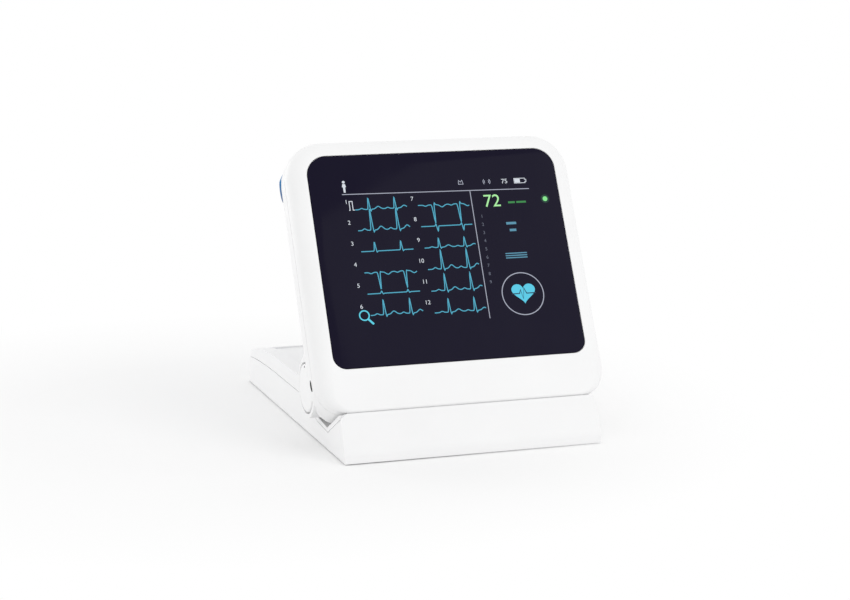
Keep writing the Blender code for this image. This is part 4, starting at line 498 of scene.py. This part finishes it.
def drawn(name, parts, colour):
    """Joins drawings into one piece that shines in its own colour, with the fine rows of the picture's dots."""
    finish = Finish(name + "_light", (0.004, 0.004, 0.006), 0.35, specular_ior_level=0.1, emission_strength=1.0)
    dots = finish.noise(5200.0, 0.0).over(0.5, 0.8)
    finish.set(emission_color=finish.tint(dots, tuple(0.86 * part for part in colour), colour))
    points, faces, start = [], [], 0
    for place, plates in parts:
        points.append(place)
        faces += [tuple(index + start for index in plate) for plate in plates]
        start += len(place)
    mesh = bpy.data.meshes.new(name)
    mesh.from_pydata(in_row(np.concatenate(points)), [], faces)
    mesh.materials.append(finish.material)
    piece = bpy.data.objects.new(name, mesh)
    bpy.context.scene.collection.objects.link(piece)
    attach(piece, "head")
    return piece


def heartbeat(across, start, first_beat, rise, dip, wave):
    """A heart trace's height: a low round wave before each beat, a narrow beat with a dip on both sides of it, and a
    broader wave after it. All are bell curves, added up over two beats."""
    height = np.zeros_like(across)
    for beat in (first_beat, first_beat + BEAT_PITCH):
        gone = across - start - beat
        for centre, spread, size in (
            (-0.030, 0.0055, wave * 0.45), (0.0, 0.0024, rise), (0.0052, 0.0022, -dip), (0.036, 0.0080, wave),
        ):
            height += size * np.exp(-(((gone - centre) / spread) ** 2) / 2)
    return height


# The traces: each row's beats as (rise, dip, wave), from the photograph. The right column's rows lie a little wider
# apart than the left one's.
BEAT_PITCH = 0.1035
ROW_LEVELS = 0.6155 - 0.0836 * np.arange(6)
LEFT_START, RIGHT_START, TRACE_LENGTH = -0.3335, -0.0825, 0.2060
LEFT_BEATS = ((0.046, 0.010, 0.010), (0.088, 0.012, 0.014), (0.036, 0.006, 0.000),
              (-0.068, -0.004, -0.010), (0.009, 0.003, 0.000), (0.060, 0.010, 0.012))
RIGHT_BEATS = ((-0.078, -0.012, -0.010), (0.008, 0.022, 0.000), (0.038, 0.006, 0.008),
               (0.079, 0.010, 0.014), (0.069, 0.010, 0.012), (0.055, 0.010, 0.010))
LEFT_FIRST, RIGHT_FIRST, RIGHT_SPREAD = 0.056, 0.060, 0.006
TRACE_STEPS = 150
traces = []
for start, beats, first, spread in (
    (LEFT_START, LEFT_BEATS, LEFT_FIRST, 0), (RIGHT_START, RIGHT_BEATS, RIGHT_FIRST, RIGHT_SPREAD),
):
    for row, (rise, dip, wave) in enumerate(beats):
        across = np.linspace(start, start + TRACE_LENGTH, TRACE_STEPS)
        level = ROW_LEVELS[row] + spread * (1 - row / 2.5) + heartbeat(across, start, first, rise, dip, wave)
        traces.append(stroke(np.stack([across, level], 1), TRACE_WIDTH))
drawn("heart_traces", traces, srgb(84, 176, 204))

# The row numbers, the person and the battery of the top line, and the step of the calibration pulse.
LABEL_LEVELS, LEFT_LABELS, RIGHT_LABELS = (0.649, 0.566, 0.482, 0.399, 0.316, 0.234), -0.364, -0.102
PERSON_ACROSS, PERSON_LEVEL, PERSON_HEAD = -0.364, 0.706, 0.7285
pulse = [
    (-0.3570, 0.6150), (-0.3530, 0.6150), (-0.3530, 0.6500), (-0.3410, 0.6500), (-0.3410, 0.6150), (-0.3345, 0.6150),
]
labels = [stroke(pulse, RULE_WIDTH)]
for row, level in enumerate(LABEL_LEVELS):
    labels.append(lettering(str(row + 1), LABEL_HEIGHT, LEFT_LABELS, level))
    labels.append(lettering(str(row + 7), LABEL_HEIGHT, RIGHT_LABELS, level + 0.001))
person = [(0.5, 1.0), (-0.5, 1.0), (-0.75, 0.2), (-0.4, 0.1), (-0.35, -1.3), (0.35, -1.3), (0.4, 0.1), (0.75, 0.2)]
labels.append(polygon([(PERSON_ACROSS + 0.0105 * x, PERSON_LEVEL + 0.0150 * z) for x, z in reversed(person)]))
labels.append(polygon(circle(PERSON_ACROSS, PERSON_HEAD, 0.0055, 24)))
labels.append(lettering("75", RATE_HEIGHT, 0.283, 0.7050))
battery = [
    (0.324, 0.695), (0.368, 0.695), (0.368, 0.700), (0.373, 0.700),
    (0.373, 0.709), (0.368, 0.709), (0.368, 0.714), (0.324, 0.714),
]
labels.append(stroke(battery, FINE_WIDTH, loop=True))
labels.append(polygon([(0.326, 0.697), (0.348, 0.697), (0.348, 0.712), (0.326, 0.712)]))
drawn("screen_figures", labels, srgb(222, 228, 236))

# The rules under the top line and beside the traces, the ring round the heart, and two small signs of the top line:
# bows on both sides of a point, and an outline with two peaks.
RING_PLACE, RING_RADIUS = (0.282, 0.246), 0.0840
rules = [stroke([(-0.376, 0.6790), (0.380, 0.6700)], RULE_WIDTH)]
rules.append(stroke([(0.1360, 0.6700), (0.1330, 0.1570)], RULE_WIDTH))
rules.append(stroke(circle(*RING_PLACE, RING_RADIUS, 72), RING_WIDTH, loop=True))
for side in (-1, 1):
    for reach in (0.006, 0.012):
        bow = np.linspace(-0.9, 0.9, 9)
        waves = np.stack([0.210 + side * (0.004 + reach * np.cos(bow)) * 0.9, 0.706 + reach * np.sin(bow)], 1)
        rules.append(stroke(waves, FINE_WIDTH))
peaks = [(0.094, 0.7000), (0.096, 0.7160), (0.103, 0.7090), (0.110, 0.7160), (0.113, 0.7000)]
rules.append(stroke(peaks, FINE_WIDTH, loop=True))
drawn("screen_rules", rules, srgb(176, 180, 196))

# The list of the channels, the pulse number with bars for its words, and bars for the menu's words.
numbers = [lettering(str(row + 1), LIST_HEIGHT, 0.168 - 0.001 * row, 0.566 - 0.0332 * row) for row in range(9)]
drawn("channel_list", numbers, srgb(110, 114, 130))

drawn("pulse_number", [lettering("72", PULSE_HEIGHT, 0.2200, 0.6275)], srgb(176, 245, 168))
bars = [stroke([(left, 0.6170), (right, 0.6170)], BAR_WIDTH) for left, right in ((0.284, 0.312), (0.318, 0.358))]
drawn("pulse_unit_bars", bars, srgb(60, 140, 76))
menu = [stroke([(0.262, 0.532), (0.303, 0.532)], MENU_WIDTH), stroke([(0.272, 0.504), (0.299, 0.504)], MENU_WIDTH)]
for level in (0.392, 0.401, 0.410):
    menu.append(stroke([(0.238, level), (0.326, level)], MENU_FINE_WIDTH))
drawn("menu_bars", menu, srgb(92, 150, 176))

# The heart in its ring, crossed by a dark beat, and the magnifier at the lower left.
HEART_PLACE, HEART_SCALE = (0.2855, 0.2520), (0.00300, 0.00275)
turn = np.linspace(0, 2 * math.pi, 60, endpoint=False)
heart_across = 16 * np.sin(turn) ** 3
heart_up = 13 * np.cos(turn) - 5 * np.cos(2 * turn) - 2 * np.cos(3 * turn) - np.cos(4 * turn)
heart = np.stack([heart_across, heart_up], 1) * HEART_SCALE + HEART_PLACE
drawn("heart_sign", [polygon(heart[::-1])], srgb(92, 208, 236))
line = [(0.236, 0.247), (0.268, 0.247), (0.274, 0.262), (0.281, 0.226), (0.289, 0.268), (0.297, 0.247), (0.335, 0.247)]
cover = drawn("heart_line", [stroke(line, HEART_LINE_WIDTH)], srgb(40, 60, 84))
cover.data.transform(Matrix.Translation(TO_ROW.to_3x3() @ Vector((0, -2 * PICTURE_THICK, 0))))
looking = [stroke(circle(-0.358, 0.199, 0.0185, 36), SIGN_WIDTH, loop=True)]
looking.append(stroke([(-0.3445, 0.1840), (-0.3260, 0.1635)], HANDLE_WIDTH))
drawn("zoom_sign", looking, srgb(96, 214, 236))

# The status lamp: the green end of a light pipe behind the pane, seen as a small bright dot in a dim green ring.
LAMP_ACROSS, LAMP_LEVEL, LAMP_DOT, LAMP_HALO = 0.0615 / UNIT, 0.0875 / UNIT, 0.0098, 0.0175
LAMP_STEPS = 40
dot = polygon(circle(LAMP_ACROSS, LAMP_LEVEL, LAMP_DOT, LAMP_STEPS))
drawn("status_lamp", [dot], srgb(138, 236, 146))
middle = circle(LAMP_ACROSS, LAMP_LEVEL, (LAMP_DOT + LAMP_HALO) / 2, LAMP_STEPS)
halo = [stroke(middle, (LAMP_HALO - LAMP_DOT) * UNIT, loop=True)]
drawn("status_lamp_halo", halo, srgb(30, 60, 52))


# Behind the pane: the picture module, its steel bracket, the display board and the light pipe, one behind the other
# on the front shell's posts. They are the CAD's own shapes and only show when the display unit is opened.
PANEL_THICKNESS, BRACKET_THICKNESS, CHIP_RISE = 0.0055, 0.0012, 0.0020
BOARD_BACK = FACE_Y + POCKET_DEPTH + LEDGE + 3 * FIT + PANEL_THICKNESS + BRACKET_THICKNESS
SOLDER_MASK, TINNED_PAD, CHIP_BLACK = (0.012, 0.105, 0.045), (0.62, 0.61, 0.58), (0.018, 0.018, 0.020)
CHIP_STEP = 0.00005


def dress(node, finish):
    """Gives one of the CAD's own nodes a finish, and leaves its shape as it is."""
    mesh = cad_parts[node].data
    mesh.materials.clear()
    mesh.materials.append(finish.material)


def metal(name, colour, roughness, along, scale=260.0):
    """Bare metal with the marks of its working: noise drawn out along one axis, in the gloss and in the relief."""
    finish = Finish(name, colour, roughness, 1.0)
    marks = finish.noise(scale, 3.0, stretch=along)
    dull = finish.noise(40.0, 2.0)
    finish.set(roughness=marks * 0.18 + dull * 0.10 + (roughness - 0.12))
    finish.set(base_color=finish.tint(marks, tuple(0.86 * part for part in colour), colour))
    finish.bump(marks, 0.00002, 0.5)
    return finish


def circuit(name, rise, chip_from):
    """A circuit board: green solder mask with raised tracks in bands, tinned pads as dots, and black chips where the
    rise, the height above the board's back, passes chip_from."""
    finish = Finish(name, SOLDER_MASK, 0.35)
    place = finish.place()
    height = rise(finish, place)
    track = finish.node("ShaderNodeTexWave", {"bands_direction": "X"}, Vector=place, Scale=190.0, Distortion=7.0)
    pads = finish.node("ShaderNodeTexVoronoi", {}, Vector=place, Scale=310.0)
    tracks, dots = track.over(0.72, 0.2), pads.under(0.24, 0.05)
    body = finish.tint(tracks, SOLDER_MASK, tuple(1.9 * part for part in SOLDER_MASK))
    body = finish.tint(dots, body, TINNED_PAD)
    chip = height.over(chip_from, CHIP_STEP)
    finish.set(base_color=finish.tint(chip, body, CHIP_BLACK))
    finish.set(metallic=dots * (1 - chip) * 0.9, roughness=0.34 + chip * 0.2 + finish.noise(120.0) * 0.1)
    finish.bump(tracks * (1 - chip), 0.00004, 0.7)
    return finish


def row_depth(finish, place):
    """How far behind the hinge axis a place lies in the display unit's flat frame: the part of its way from the axis
    that runs along the unit's own depth."""
    across, back, up = finish.part(place)
    return (back - HINGE.y) * math.cos(TILT) + (up - HINGE.z) * -math.sin(TILT)


def plain_height(finish, place):
    """How high a place lies above the table, for the base's level board."""
    return finish.part(place)[2]


panel = Finish("display_module_black", (0.02, 0.02, 0.022), 0.3)
panel.set(roughness=0.24 + panel.noise(90.0, 3.0) * 0.14)
panel.bump(panel.noise(700.0), 0.00001, 0.3)
dress("display_panel", panel)
dress("display_bracket", metal("bracket_steel_rolled", (0.60, 0.60, 0.62), 0.34, (14.0, 1.0, 1.0)))
dress("display_board", circuit("display_board_mask", row_depth, BOARD_BACK + CHIP_RISE))
pipe = Finish("light_pipe_clear_green", (0.05, 0.42, 0.14), 0.12, transmission_weight=0.35)
pipe.set(roughness=0.08 + pipe.noise(300.0) * 0.1)
dress("led_light_pipe", pipe)


# The rear cover: the second white moulding, with the two hinge knuckles, the barrel's groove, the speaker slots, the
# screw wells and the hollow ridge under the grip. Four screws draw it against the front shell.
SHARP_ANGLE, FLAT_ANGLE = math.radians(30), math.radians(0.3)
BROKEN_STEPS = 3


def broken(piece, width):
    """Rounds each edge of a piece that turns by more than an angle, with a Bevel modifier."""
    bevel = piece.modifiers.new("broken_edges", "BEVEL")
    bevel.limit_method = "ANGLE"
    bevel.angle_limit = SHARP_ANGLE
    bevel.width = width
    bevel.segments = BROKEN_STEPS
    bevel.harden_normals = True


def carried(node, name, finish, body, width=0.0003):
    """A piece in the shape of a CAD node, with its edges broken: the node's mesh is copied, and its double corners and
    its flat splits are taken out, so that only its real edges are rounded."""
    shape = bmesh.new()
    shape.from_mesh(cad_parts[node].data)
    bmesh.ops.remove_doubles(shape, verts=shape.verts, dist=SAME_PLACE)
    bmesh.ops.dissolve_limit(shape, angle_limit=FLAT_ANGLE, verts=shape.verts, edges=shape.edges)
    shape.verts.index_update()
    points = np.array([corner.co[:] for corner in shape.verts])
    faces = [[corner.index for corner in face.verts] for face in shape.faces]
    shape.free()
    broken(put(name, points, faces, finish, body, [node], smooth=30), width)


rear_white = moulded("rear_cover_white_moulded", (0.910, 0.911, 0.913))
carried("head_rear_cover", "rear_cover", rear_white, "head")


# The grip: a blue band of satin moulded plastic, clipped over the ridge along the top of the back, where a hand takes
# hold of the display unit. Its blue is painted deep at the foot and pale towards the top, as painted shade below and a
# painted highlight above for the light falling on its curve, with fine scratches from handling.
GRIP_SHADED_BLUE, GRIP_LIT_BLUE = (0.006, 0.030, 0.150), (0.040, 0.280, 0.600)
GRIP_FOOT, GRIP_RISE = 0.1222, 0.0185

grip = Finish("grip_blue_pearl_painted_shade", GRIP_SHADED_BLUE, 0.4, specular_ior_level=0.12)
flakes = grip.noise(2600.0, 2.0, 0.7)
sweep = grip.noise(14.0, 2.0)
# Painted shade and highlight by height: the shaded blue at the foot goes over into the lit blue at the top, with the
# flakes and slow sweeps mixed in.
height = (grip.part(grip.place())[2] - GRIP_FOOT) / GRIP_RISE
grip.set(base_color=grip.tint((height + flakes * 0.3 + sweep * 0.2 - 0.25).over(0.5, 1.0), GRIP_SHADED_BLUE, GRIP_LIT_BLUE))
scratches = grip.noise(240.0, 2.0, stretch=(0.04, 1.0, 1.0)).over(0.68, 0.1)
grip.set(roughness=0.36 + scratches * 0.2 + sweep * 0.08)
grip.bump(flakes, 0.000006, 0.3)

GRIP_OUTER, GRIP_INNER, GRIP_Y, GRIP_Z = 0.01127, 0.00867, -0.01567, 0.1088
GRIP_SPRING, GRIP_LEG = -0.0107, -0.0123
GRIP_INSET, GRIP_CORNER_INSET, GRIP_EDGE = 0.0022, 0.0008, 0.0004
GRIP_ARC_STEPS, GRIP_SECTIONS = 41, 25
edges = []
for radius in (GRIP_OUTER, GRIP_INNER):
    spring = math.degrees(math.acos((GRIP_SPRING - GRIP_Y) / radius))
    turn = quarter(-spring, spring, GRIP_ARC_STEPS)
    depth, level = GRIP_Y + radius * np.cos(turn), GRIP_Z + radius * np.sin(turn)
    depth = np.concatenate([[GRIP_LEG], depth, [GRIP_LEG]])
    edges.append(np.stack([depth, np.concatenate([level[:1], level, level[-1:]])], 1))
section = np.concatenate([edges[0], edges[1][::-1]])
bow = np.sqrt((TOP_RADIUS - GRIP_CORNER_INSET) ** 2 - np.clip(section[:, 1] - TOP + TOP_RADIUS, 0, None) ** 2)
reach = np.minimum(HALF - TOP_RADIUS + bow, HALF - GRIP_INSET)
shares = np.sin(np.linspace(-1, 1, GRIP_SECTIONS) * math.pi / 2)
points = np.stack([np.stack([share * reach, section[:, 0], section[:, 1]], 1) for share in shares]).reshape(-1, 3)
across, count = len(section), len(edges[0])
faces = strips(len(shares), across, closed=False).tolist()
for first in (0, (len(shares) - 1) * across):
    for step in range(count - 1):
        corner = [step, step + 1, across - 2 - step, across - 1 - step]
        faces.append([first + index for index in corner])
broken(put("grip_band", in_row(points), faces, grip, "head", ["rear_grip"]), GRIP_EDGE)


# The speaker sits behind the slots of the rear cover: a black cone in a black basket, with a steel magnet.
speaker = Finish("speaker_black_paper", (0.022, 0.022, 0.024), 0.8)
fibre = speaker.noise(900.0, 4.0, 0.7)
speaker.set(base_color=speaker.tint(fibre, (0.014, 0.014, 0.016), (0.035, 0.035, 0.037)))
speaker.bump(fibre, 0.00005, 0.6)
dress("speaker", speaker)


# The power button on the right side, a grey moulded key that stands in its opening, and the small switch behind it.
key = moulded("button_grey_moulded", (0.46, 0.47, 0.49), 0.000012, 0.38)
carried("power_button", "power_key", key, "button", width=0.0004)
switch = Finish("switch_grey_nylon", (0.12, 0.12, 0.125), 0.5)
switch.set(roughness=0.42 + switch.noise(500.0) * 0.2)
switch.bump(switch.noise(1500.0), 0.00001, 0.4)
dress("power_switch", switch)


# The hinge: two turned steel pins through the knuckles into the barrel, friction washers between them, and a white
# domed cap over each pin's end, with the two small assembly holes and the dark slot that the photograph shows there.
CAP_RADIUS, CAP_FACE, CAP_DOME, CAP_SEAT, CAP_PLUG, CAP_END = 0.0128, 0.0782, 0.0008, 0.0751, 0.0105, 0.0711
CAP_CROWN = 0.0005
CAP_HOLES = ((-0.0040, 0.0104, 0.00075), (-0.0088, 0.0070, 0.00075))
CAP_HOLE_DEPTH, CAP_HOLE_PROUD, CAP_HOLE_CHAMFER = 0.0012, 0.00003, 0.00005
CAP_COLUMNS, CAP_HOLE_COLUMNS, CENTRE_RADIUS = 72, 20, 0.0002


def turned(profile, columns):
    """Rings of a turned piece about the x axis, from its profile of (radius, x): each is a circle of the radius."""
    turn = np.linspace(0, 2 * math.pi, columns, endpoint=False)
    return np.concatenate([
        np.stack([np.full(columns, along), radius * np.cos(turn), radius * np.sin(turn)], 1)
        for radius, along in profile
    ])


def lathe(name, profile, columns, finish, body, replaces, place):
    """A closed turned piece: the profile's rings, and a face over each end, moved to where the piece sits."""
    points = turned(profile, columns)
    faces = strips(len(profile), columns, closed=False).tolist()
    faces += [list(range(columns)), list(range(len(points) - columns, len(points)))]
    put(name, place(points), faces, finish, body, replaces)


cap_white = moulded("hinge_cap_white_moulded", (0.915, 0.916, 0.918))
# Painted shade: each assembly hole is drawn as a dark disc standing a hair proud of the cap, dark as shade falls
# inside a real hole.
dark_hole = Finish("cap_hole_shade", (0.05, 0.05, 0.055), 0.7)
dark_hole.set(roughness=0.6 + dark_hole.noise(900.0) * 0.2)
for word, side in (("left", -1), ("right", 1)):
    profile = [(CENTRE_RADIUS, CAP_FACE)]
    for share in np.linspace(0.08, 1, 14):
        profile.append(((CAP_RADIUS - CAP_DOME) * share, CAP_FACE - CAP_CROWN * share**2))
    for turn in quarter(90, 0, 7):
        low = CAP_FACE - CAP_CROWN - CAP_DOME
        profile.append((CAP_RADIUS - CAP_DOME * (1 - math.cos(turn)), low + CAP_DOME * math.sin(turn)))
    profile += [(CAP_RADIUS, CAP_SEAT), (CAP_PLUG, CAP_SEAT), (CAP_PLUG, CAP_END), (CENTRE_RADIUS, CAP_END)]
    sided = [(radius, side * along) for radius, along in profile]
    cap = f"hinge_cap_{word}"
    lathe(cap + "_domed", sided, CAP_COLUMNS, cap_white, "head", [cap], in_row)
    for number, (back, up, radius) in enumerate(CAP_HOLES, 1):
        reach = math.hypot(back, up)
        face = CAP_FACE - CAP_CROWN * (reach / (CAP_RADIUS - CAP_DOME)) ** 2 + CAP_HOLE_PROUD
        foot = face - CAP_HOLE_PROUD - CAP_HOLE_DEPTH
        profile = [(0.00005, face), (radius * 0.8, face), (radius, face - CAP_HOLE_CHAMFER)]
        profile += [(radius, foot), (0.00005, foot)]
        shift = np.array([0, back, up])
        sided = [(width, side * along) for width, along in profile]
        lathe(
            f"cap_hole_{word}_{number}", sided, CAP_HOLE_COLUMNS, dark_hole, "head", (),
            lambda points, shift=shift: in_row(points + shift),
        )

SLOT_Y, SLOT_Z, SLOT_HALF_WIDTH, SLOT_HALF_HEIGHT = -0.0209, -0.0044, 0.0015, 0.0032
SLOT_LEAN, SLOT_POINTED, SLOT_IN, SLOT_OUT = 0.06, 1.6, 0.0795, 0.08031
SLOT_COLUMNS = 32
# Painted shadow: the slot is a thin black plate at the head's side, standing in for the shade that falls in the gap
# between the cap and the shell.
slot_black = Finish("hinge_slot_painted_shadow", (0.012, 0.012, 0.013), 0.7, specular_ior_level=0.1)
slot_black.set(roughness=0.62 + slot_black.noise(800.0) * 0.2)
slot_black.bump(slot_black.noise(1400.0), 0.00001, 0.4)
turn = np.linspace(0, 2 * math.pi, SLOT_COLUMNS, endpoint=False)
up = SLOT_HALF_HEIGHT * np.sin(turn)
back = SLOT_HALF_WIDTH * np.sign(np.cos(turn)) * np.abs(np.cos(turn)) ** SLOT_POINTED + SLOT_LEAN * up
for word, side in (("left", -1), ("right", 1)):
    rings = []
    for along, share in ((SLOT_IN, 0.01), (SLOT_IN, 1), (SLOT_OUT, 1), (SLOT_OUT, 0.01)):
        across = np.full(SLOT_COLUMNS, side * along)
        rings.append(np.stack([across, SLOT_Y + share * back, SLOT_Z + share * up], 1))
    points = np.concatenate(rings)
    faces = strips(4, SLOT_COLUMNS, closed=False).tolist()
    faces += [list(range(SLOT_COLUMNS)), list(range(3 * SLOT_COLUMNS, 4 * SLOT_COLUMNS))]
    put("hinge_slot_" + word, in_row(points), faces, slot_black, "head")

turned_steel = metal("hinge_pin_turned_steel", (0.58, 0.58, 0.60), 0.28, (16.0, 1.0, 1.0), 400.0)
washer = Finish("friction_washer_nylon", (0.10, 0.10, 0.105), 0.5)
washer.set(roughness=0.4 + washer.noise(400.0, 3.0) * 0.25)
washer.bump(washer.noise(900.0), 0.00001, 0.5)
for word in ("left", "right"):
    dress("hinge_pin_" + word, turned_steel)
    dress("friction_washer_" + word, washer)


# The screws: zinc-plated pan heads with a cross recess, four behind the display unit in their wells and four under the
# base, with a flat one in the battery door. Their threads are left plain inside the bosses, where no one sees them.
SCREW_HEAD, SCREW_SHAFT, SCREW_POINT, HEAD_RISE = 0.0026, 0.0012, 0.0006, 0.0016
SCREW_COLUMNS = 64
CROSS_REACH, CROSS_WIDTH, CROSS_DEPTH, CROSS_SOFT = 0.0016, 0.00038, 0.0009, 0.00016
zinc = metal("screw_zinc_plated", (0.62, 0.62, 0.63), 0.3, (1.0, 1.0, 1.0), 900.0)


def screw(name, node, length, rise, place, body):
    """A pan head screw on the x axis. The head's crown is a round grid whose height falls with the radius to the
    fourth, less a cross: two bars, each a soft step across its width and along its length."""
    radii = np.concatenate([np.linspace(0.00002, 0.0019, 22), np.linspace(0.0021, SCREW_HEAD, 5)])
    turn = np.linspace(0, 2 * math.pi, SCREW_COLUMNS, endpoint=False)
    radius, angle = np.meshgrid(radii, turn, indexing="ij")
    y, z = radius * np.cos(angle), radius * np.sin(angle)
    height = rise * (1 - 0.62 * (radius / SCREW_HEAD) ** 4)
    bars = [
        np.clip((CROSS_WIDTH - abs(a)) / CROSS_SOFT + 0.5, 0, 1) * np.clip((CROSS_REACH - abs(b)) / CROSS_SOFT, 0, 1)
        for a, b in ((y, z), (z, y))
    ]
    height = height - min(CROSS_DEPTH, 0.7 * rise) * np.maximum(*bars)
    crown = np.stack([height, y, z], -1).reshape(-1, 3)
    profile = [(SCREW_HEAD, 0), (SCREW_SHAFT, 0), (SCREW_SHAFT, -length), (0.0004, -length - SCREW_POINT)]
    points = np.concatenate([crown, turned(profile, SCREW_COLUMNS)])
    faces = strips(len(points) // SCREW_COLUMNS, SCREW_COLUMNS, closed=False).tolist()
    faces += [list(range(SCREW_COLUMNS)), list(range(len(points) - SCREW_COLUMNS, len(points)))]
    put(name, place(points), faces, zinc, body, [node], smooth=40)


def towards(axis_x, axis_y, axis_z, origin):
    """Moves places from a piece's own frame to where it sits: each of its axes becomes the one that is given."""
    turn = np.array([axis_x, axis_y, axis_z], float)
    return lambda points: points @ turn + np.array(origin)


HEAD_SCREW_SEAT, HEAD_SCREW_LENGTH = -0.0221, 0.0061
back_way = TO_ROW.to_3x3() @ Vector((0, 1, 0))
up_way = TO_ROW.to_3x3() @ Vector((0, 0, 1))
for number, (across, level) in enumerate(((-0.067, 0.036), (-0.067, 0.094), (0.067, 0.036), (0.067, 0.094)), 1):
    origin = TO_ROW @ Vector((across, HEAD_SCREW_SEAT, level))
    place = towards(back_way, (1, 0, 0), up_way, origin)
    screw(f"head_screw_{number}_cross", f"head_screw_{number}", HEAD_SCREW_LENGTH, HEAD_RISE, place, "head")
BASE_SCREW_SEAT, BASE_SCREW_LENGTH = 0.0041, 0.0106
spots = ((-0.059, -0.023), (-0.059, 0.061), (0.059, -0.023), (0.059, 0.061))
for number, (across, back) in enumerate(spots, 1):
    place = towards((0, 0, -1), (1, 0, 0), (0, 1, 0), (across, back, BASE_SCREW_SEAT))
    screw(f"base_screw_{number}_cross", f"base_screw_{number}", BASE_SCREW_LENGTH, HEAD_RISE, place, "base")
DOOR_SCREW_SEAT, DOOR_SCREW_RISE, DOOR_SCREW_LENGTH = 0.0007, 0.0003, 0.0084
place = towards((0, 0, -1), (1, 0, 0), (0, 1, 0), (0, -0.024, DOOR_SCREW_SEAT))
screw("battery_door_screw_cross", "battery_door_screw", DOOR_SCREW_LENGTH, DOOR_SCREW_RISE, place, "base")


# The lower shell: the white moulded tray that stands on the feet, with the slanted front face and lip, the battery bay
# and the openings for the two sockets. It meets the top cover at the fine curved line along each side.
base_white = moulded("base_shell_white_moulded", (0.908, 0.909, 0.912))
carried("base_lower_shell", "lower_shell", base_white, "base")


# The top cover: the white moulding over the tray, with the trough that the display unit swings in, the hinge barrel,
# the two side rails and the sunk deck between them. Screws from below hold it.
cover_white = moulded("top_cover_white_moulded", (0.908, 0.909, 0.912))
carried("base_top_cover", "top_cover", cover_white, "base")


# The battery door in the underside, a white moulded lid with a screw tongue, and the battery pack behind it: cells in
# a dark grey shrink sleeve with fine creases along it.
door_white = moulded("battery_door_white_moulded", (0.870, 0.874, 0.880), 0.00003, 0.5)
carried("battery_door", "battery_lid", door_white, "base")
sleeve = Finish("battery_sleeve_grey", (0.075, 0.078, 0.085), 0.4)
crease = sleeve.noise(60.0, 4.0, 0.6, stretch=(1.0, 8.0, 1.0))
sleeve.set(base_color=sleeve.tint(crease, (0.055, 0.058, 0.064), (0.095, 0.098, 0.106)))
sleeve.set(roughness=0.28 + crease * 0.2)
sleeve.bump(crease, 0.0003, 0.5)
dress("battery_pack", sleeve)


# The four feet: black rubber discs in shallow seats under the corners, with a rounded lower edge and a dished face.
FOOT_RADIUS, FOOT_TOP, FOOT_ROUND, FOOT_DISH, FOOT_COLUMNS = 0.0062, 0.0014, 0.0004, 0.0002, 56
rubber = Finish("foot_rubber_black", (0.020, 0.020, 0.021), 0.8)
pores = rubber.noise(1300.0, 3.0, 0.6)
rubber.set(base_color=rubber.tint(pores, (0.014, 0.014, 0.015), (0.034, 0.034, 0.035)))
rubber.set(roughness=0.70 + pores * 0.2)
rubber.bump(pores, 0.00002, 0.7)
profile = [(CENTRE_RADIUS, FOOT_TOP), (FOOT_RADIUS, FOOT_TOP)]
for turn in quarter(0, 90, 7):
    profile.append((FOOT_RADIUS - FOOT_ROUND * (1 - math.cos(turn)), FOOT_ROUND * (1 - math.sin(turn))))
for share in np.linspace(0.85, 0.04, 10):
    profile.append((FOOT_RADIUS * share, FOOT_DISH * (1 - share**4)))
for name, (across, back) in (
    ("foot_front_left", (-0.056, -0.088)), ("foot_front_right", (0.056, -0.088)),
    ("foot_rear_left", (-0.056, 0.081)), ("foot_rear_right", (0.056, 0.081)),
):
    place = towards((0, 0, 1), (1, 0, 0), (0, 1, 0), (across, back, 0))
    lathe(name + "_dished", profile, FOOT_COLUMNS, rubber, "base", [name], place)


# The electronics of the base: the main board on four posts, a tinned can over its radio part, the wide socket for the
# electrode leads and the round power inlet behind openings in the rear wall, and the cable up through the left hinge.
BOARD_TOP, CHIP_CLEAR = 0.0056, 0.0002
dress("main_board", circuit("main_board_mask", plain_height, BOARD_TOP + CHIP_CLEAR))
dress("shield_can", metal("shield_tin_sheet", (0.63, 0.63, 0.62), 0.36, (1.0, 6.0, 1.0), 300.0))
socket = Finish("socket_black_nylon", (0.022, 0.022, 0.024), 0.45)
glass_fibre = socket.noise(1600.0, 3.0, 0.7)
socket.set(base_color=socket.tint(glass_fibre, (0.016, 0.016, 0.018), (0.032, 0.032, 0.034)))
socket.set(roughness=0.36 + glass_fibre * 0.2)
socket.bump(glass_fibre, 0.000012, 0.5)
carried("patient_socket", "lead_socket", socket, "base", width=0.0002)
carried("power_inlet", "inlet_socket", socket, "base", width=0.0002)
sheath = Finish("cable_black_sheath", (0.020, 0.020, 0.021), 0.55)
sheath_grain = sheath.noise(1000.0, 3.0)
sheath.set(roughness=0.45 + sheath_grain * 0.2)
sheath.bump(sheath_grain, 0.00001, 0.5)
dress("base_cable", sheath)
dress("head_cable", sheath)


low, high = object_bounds()
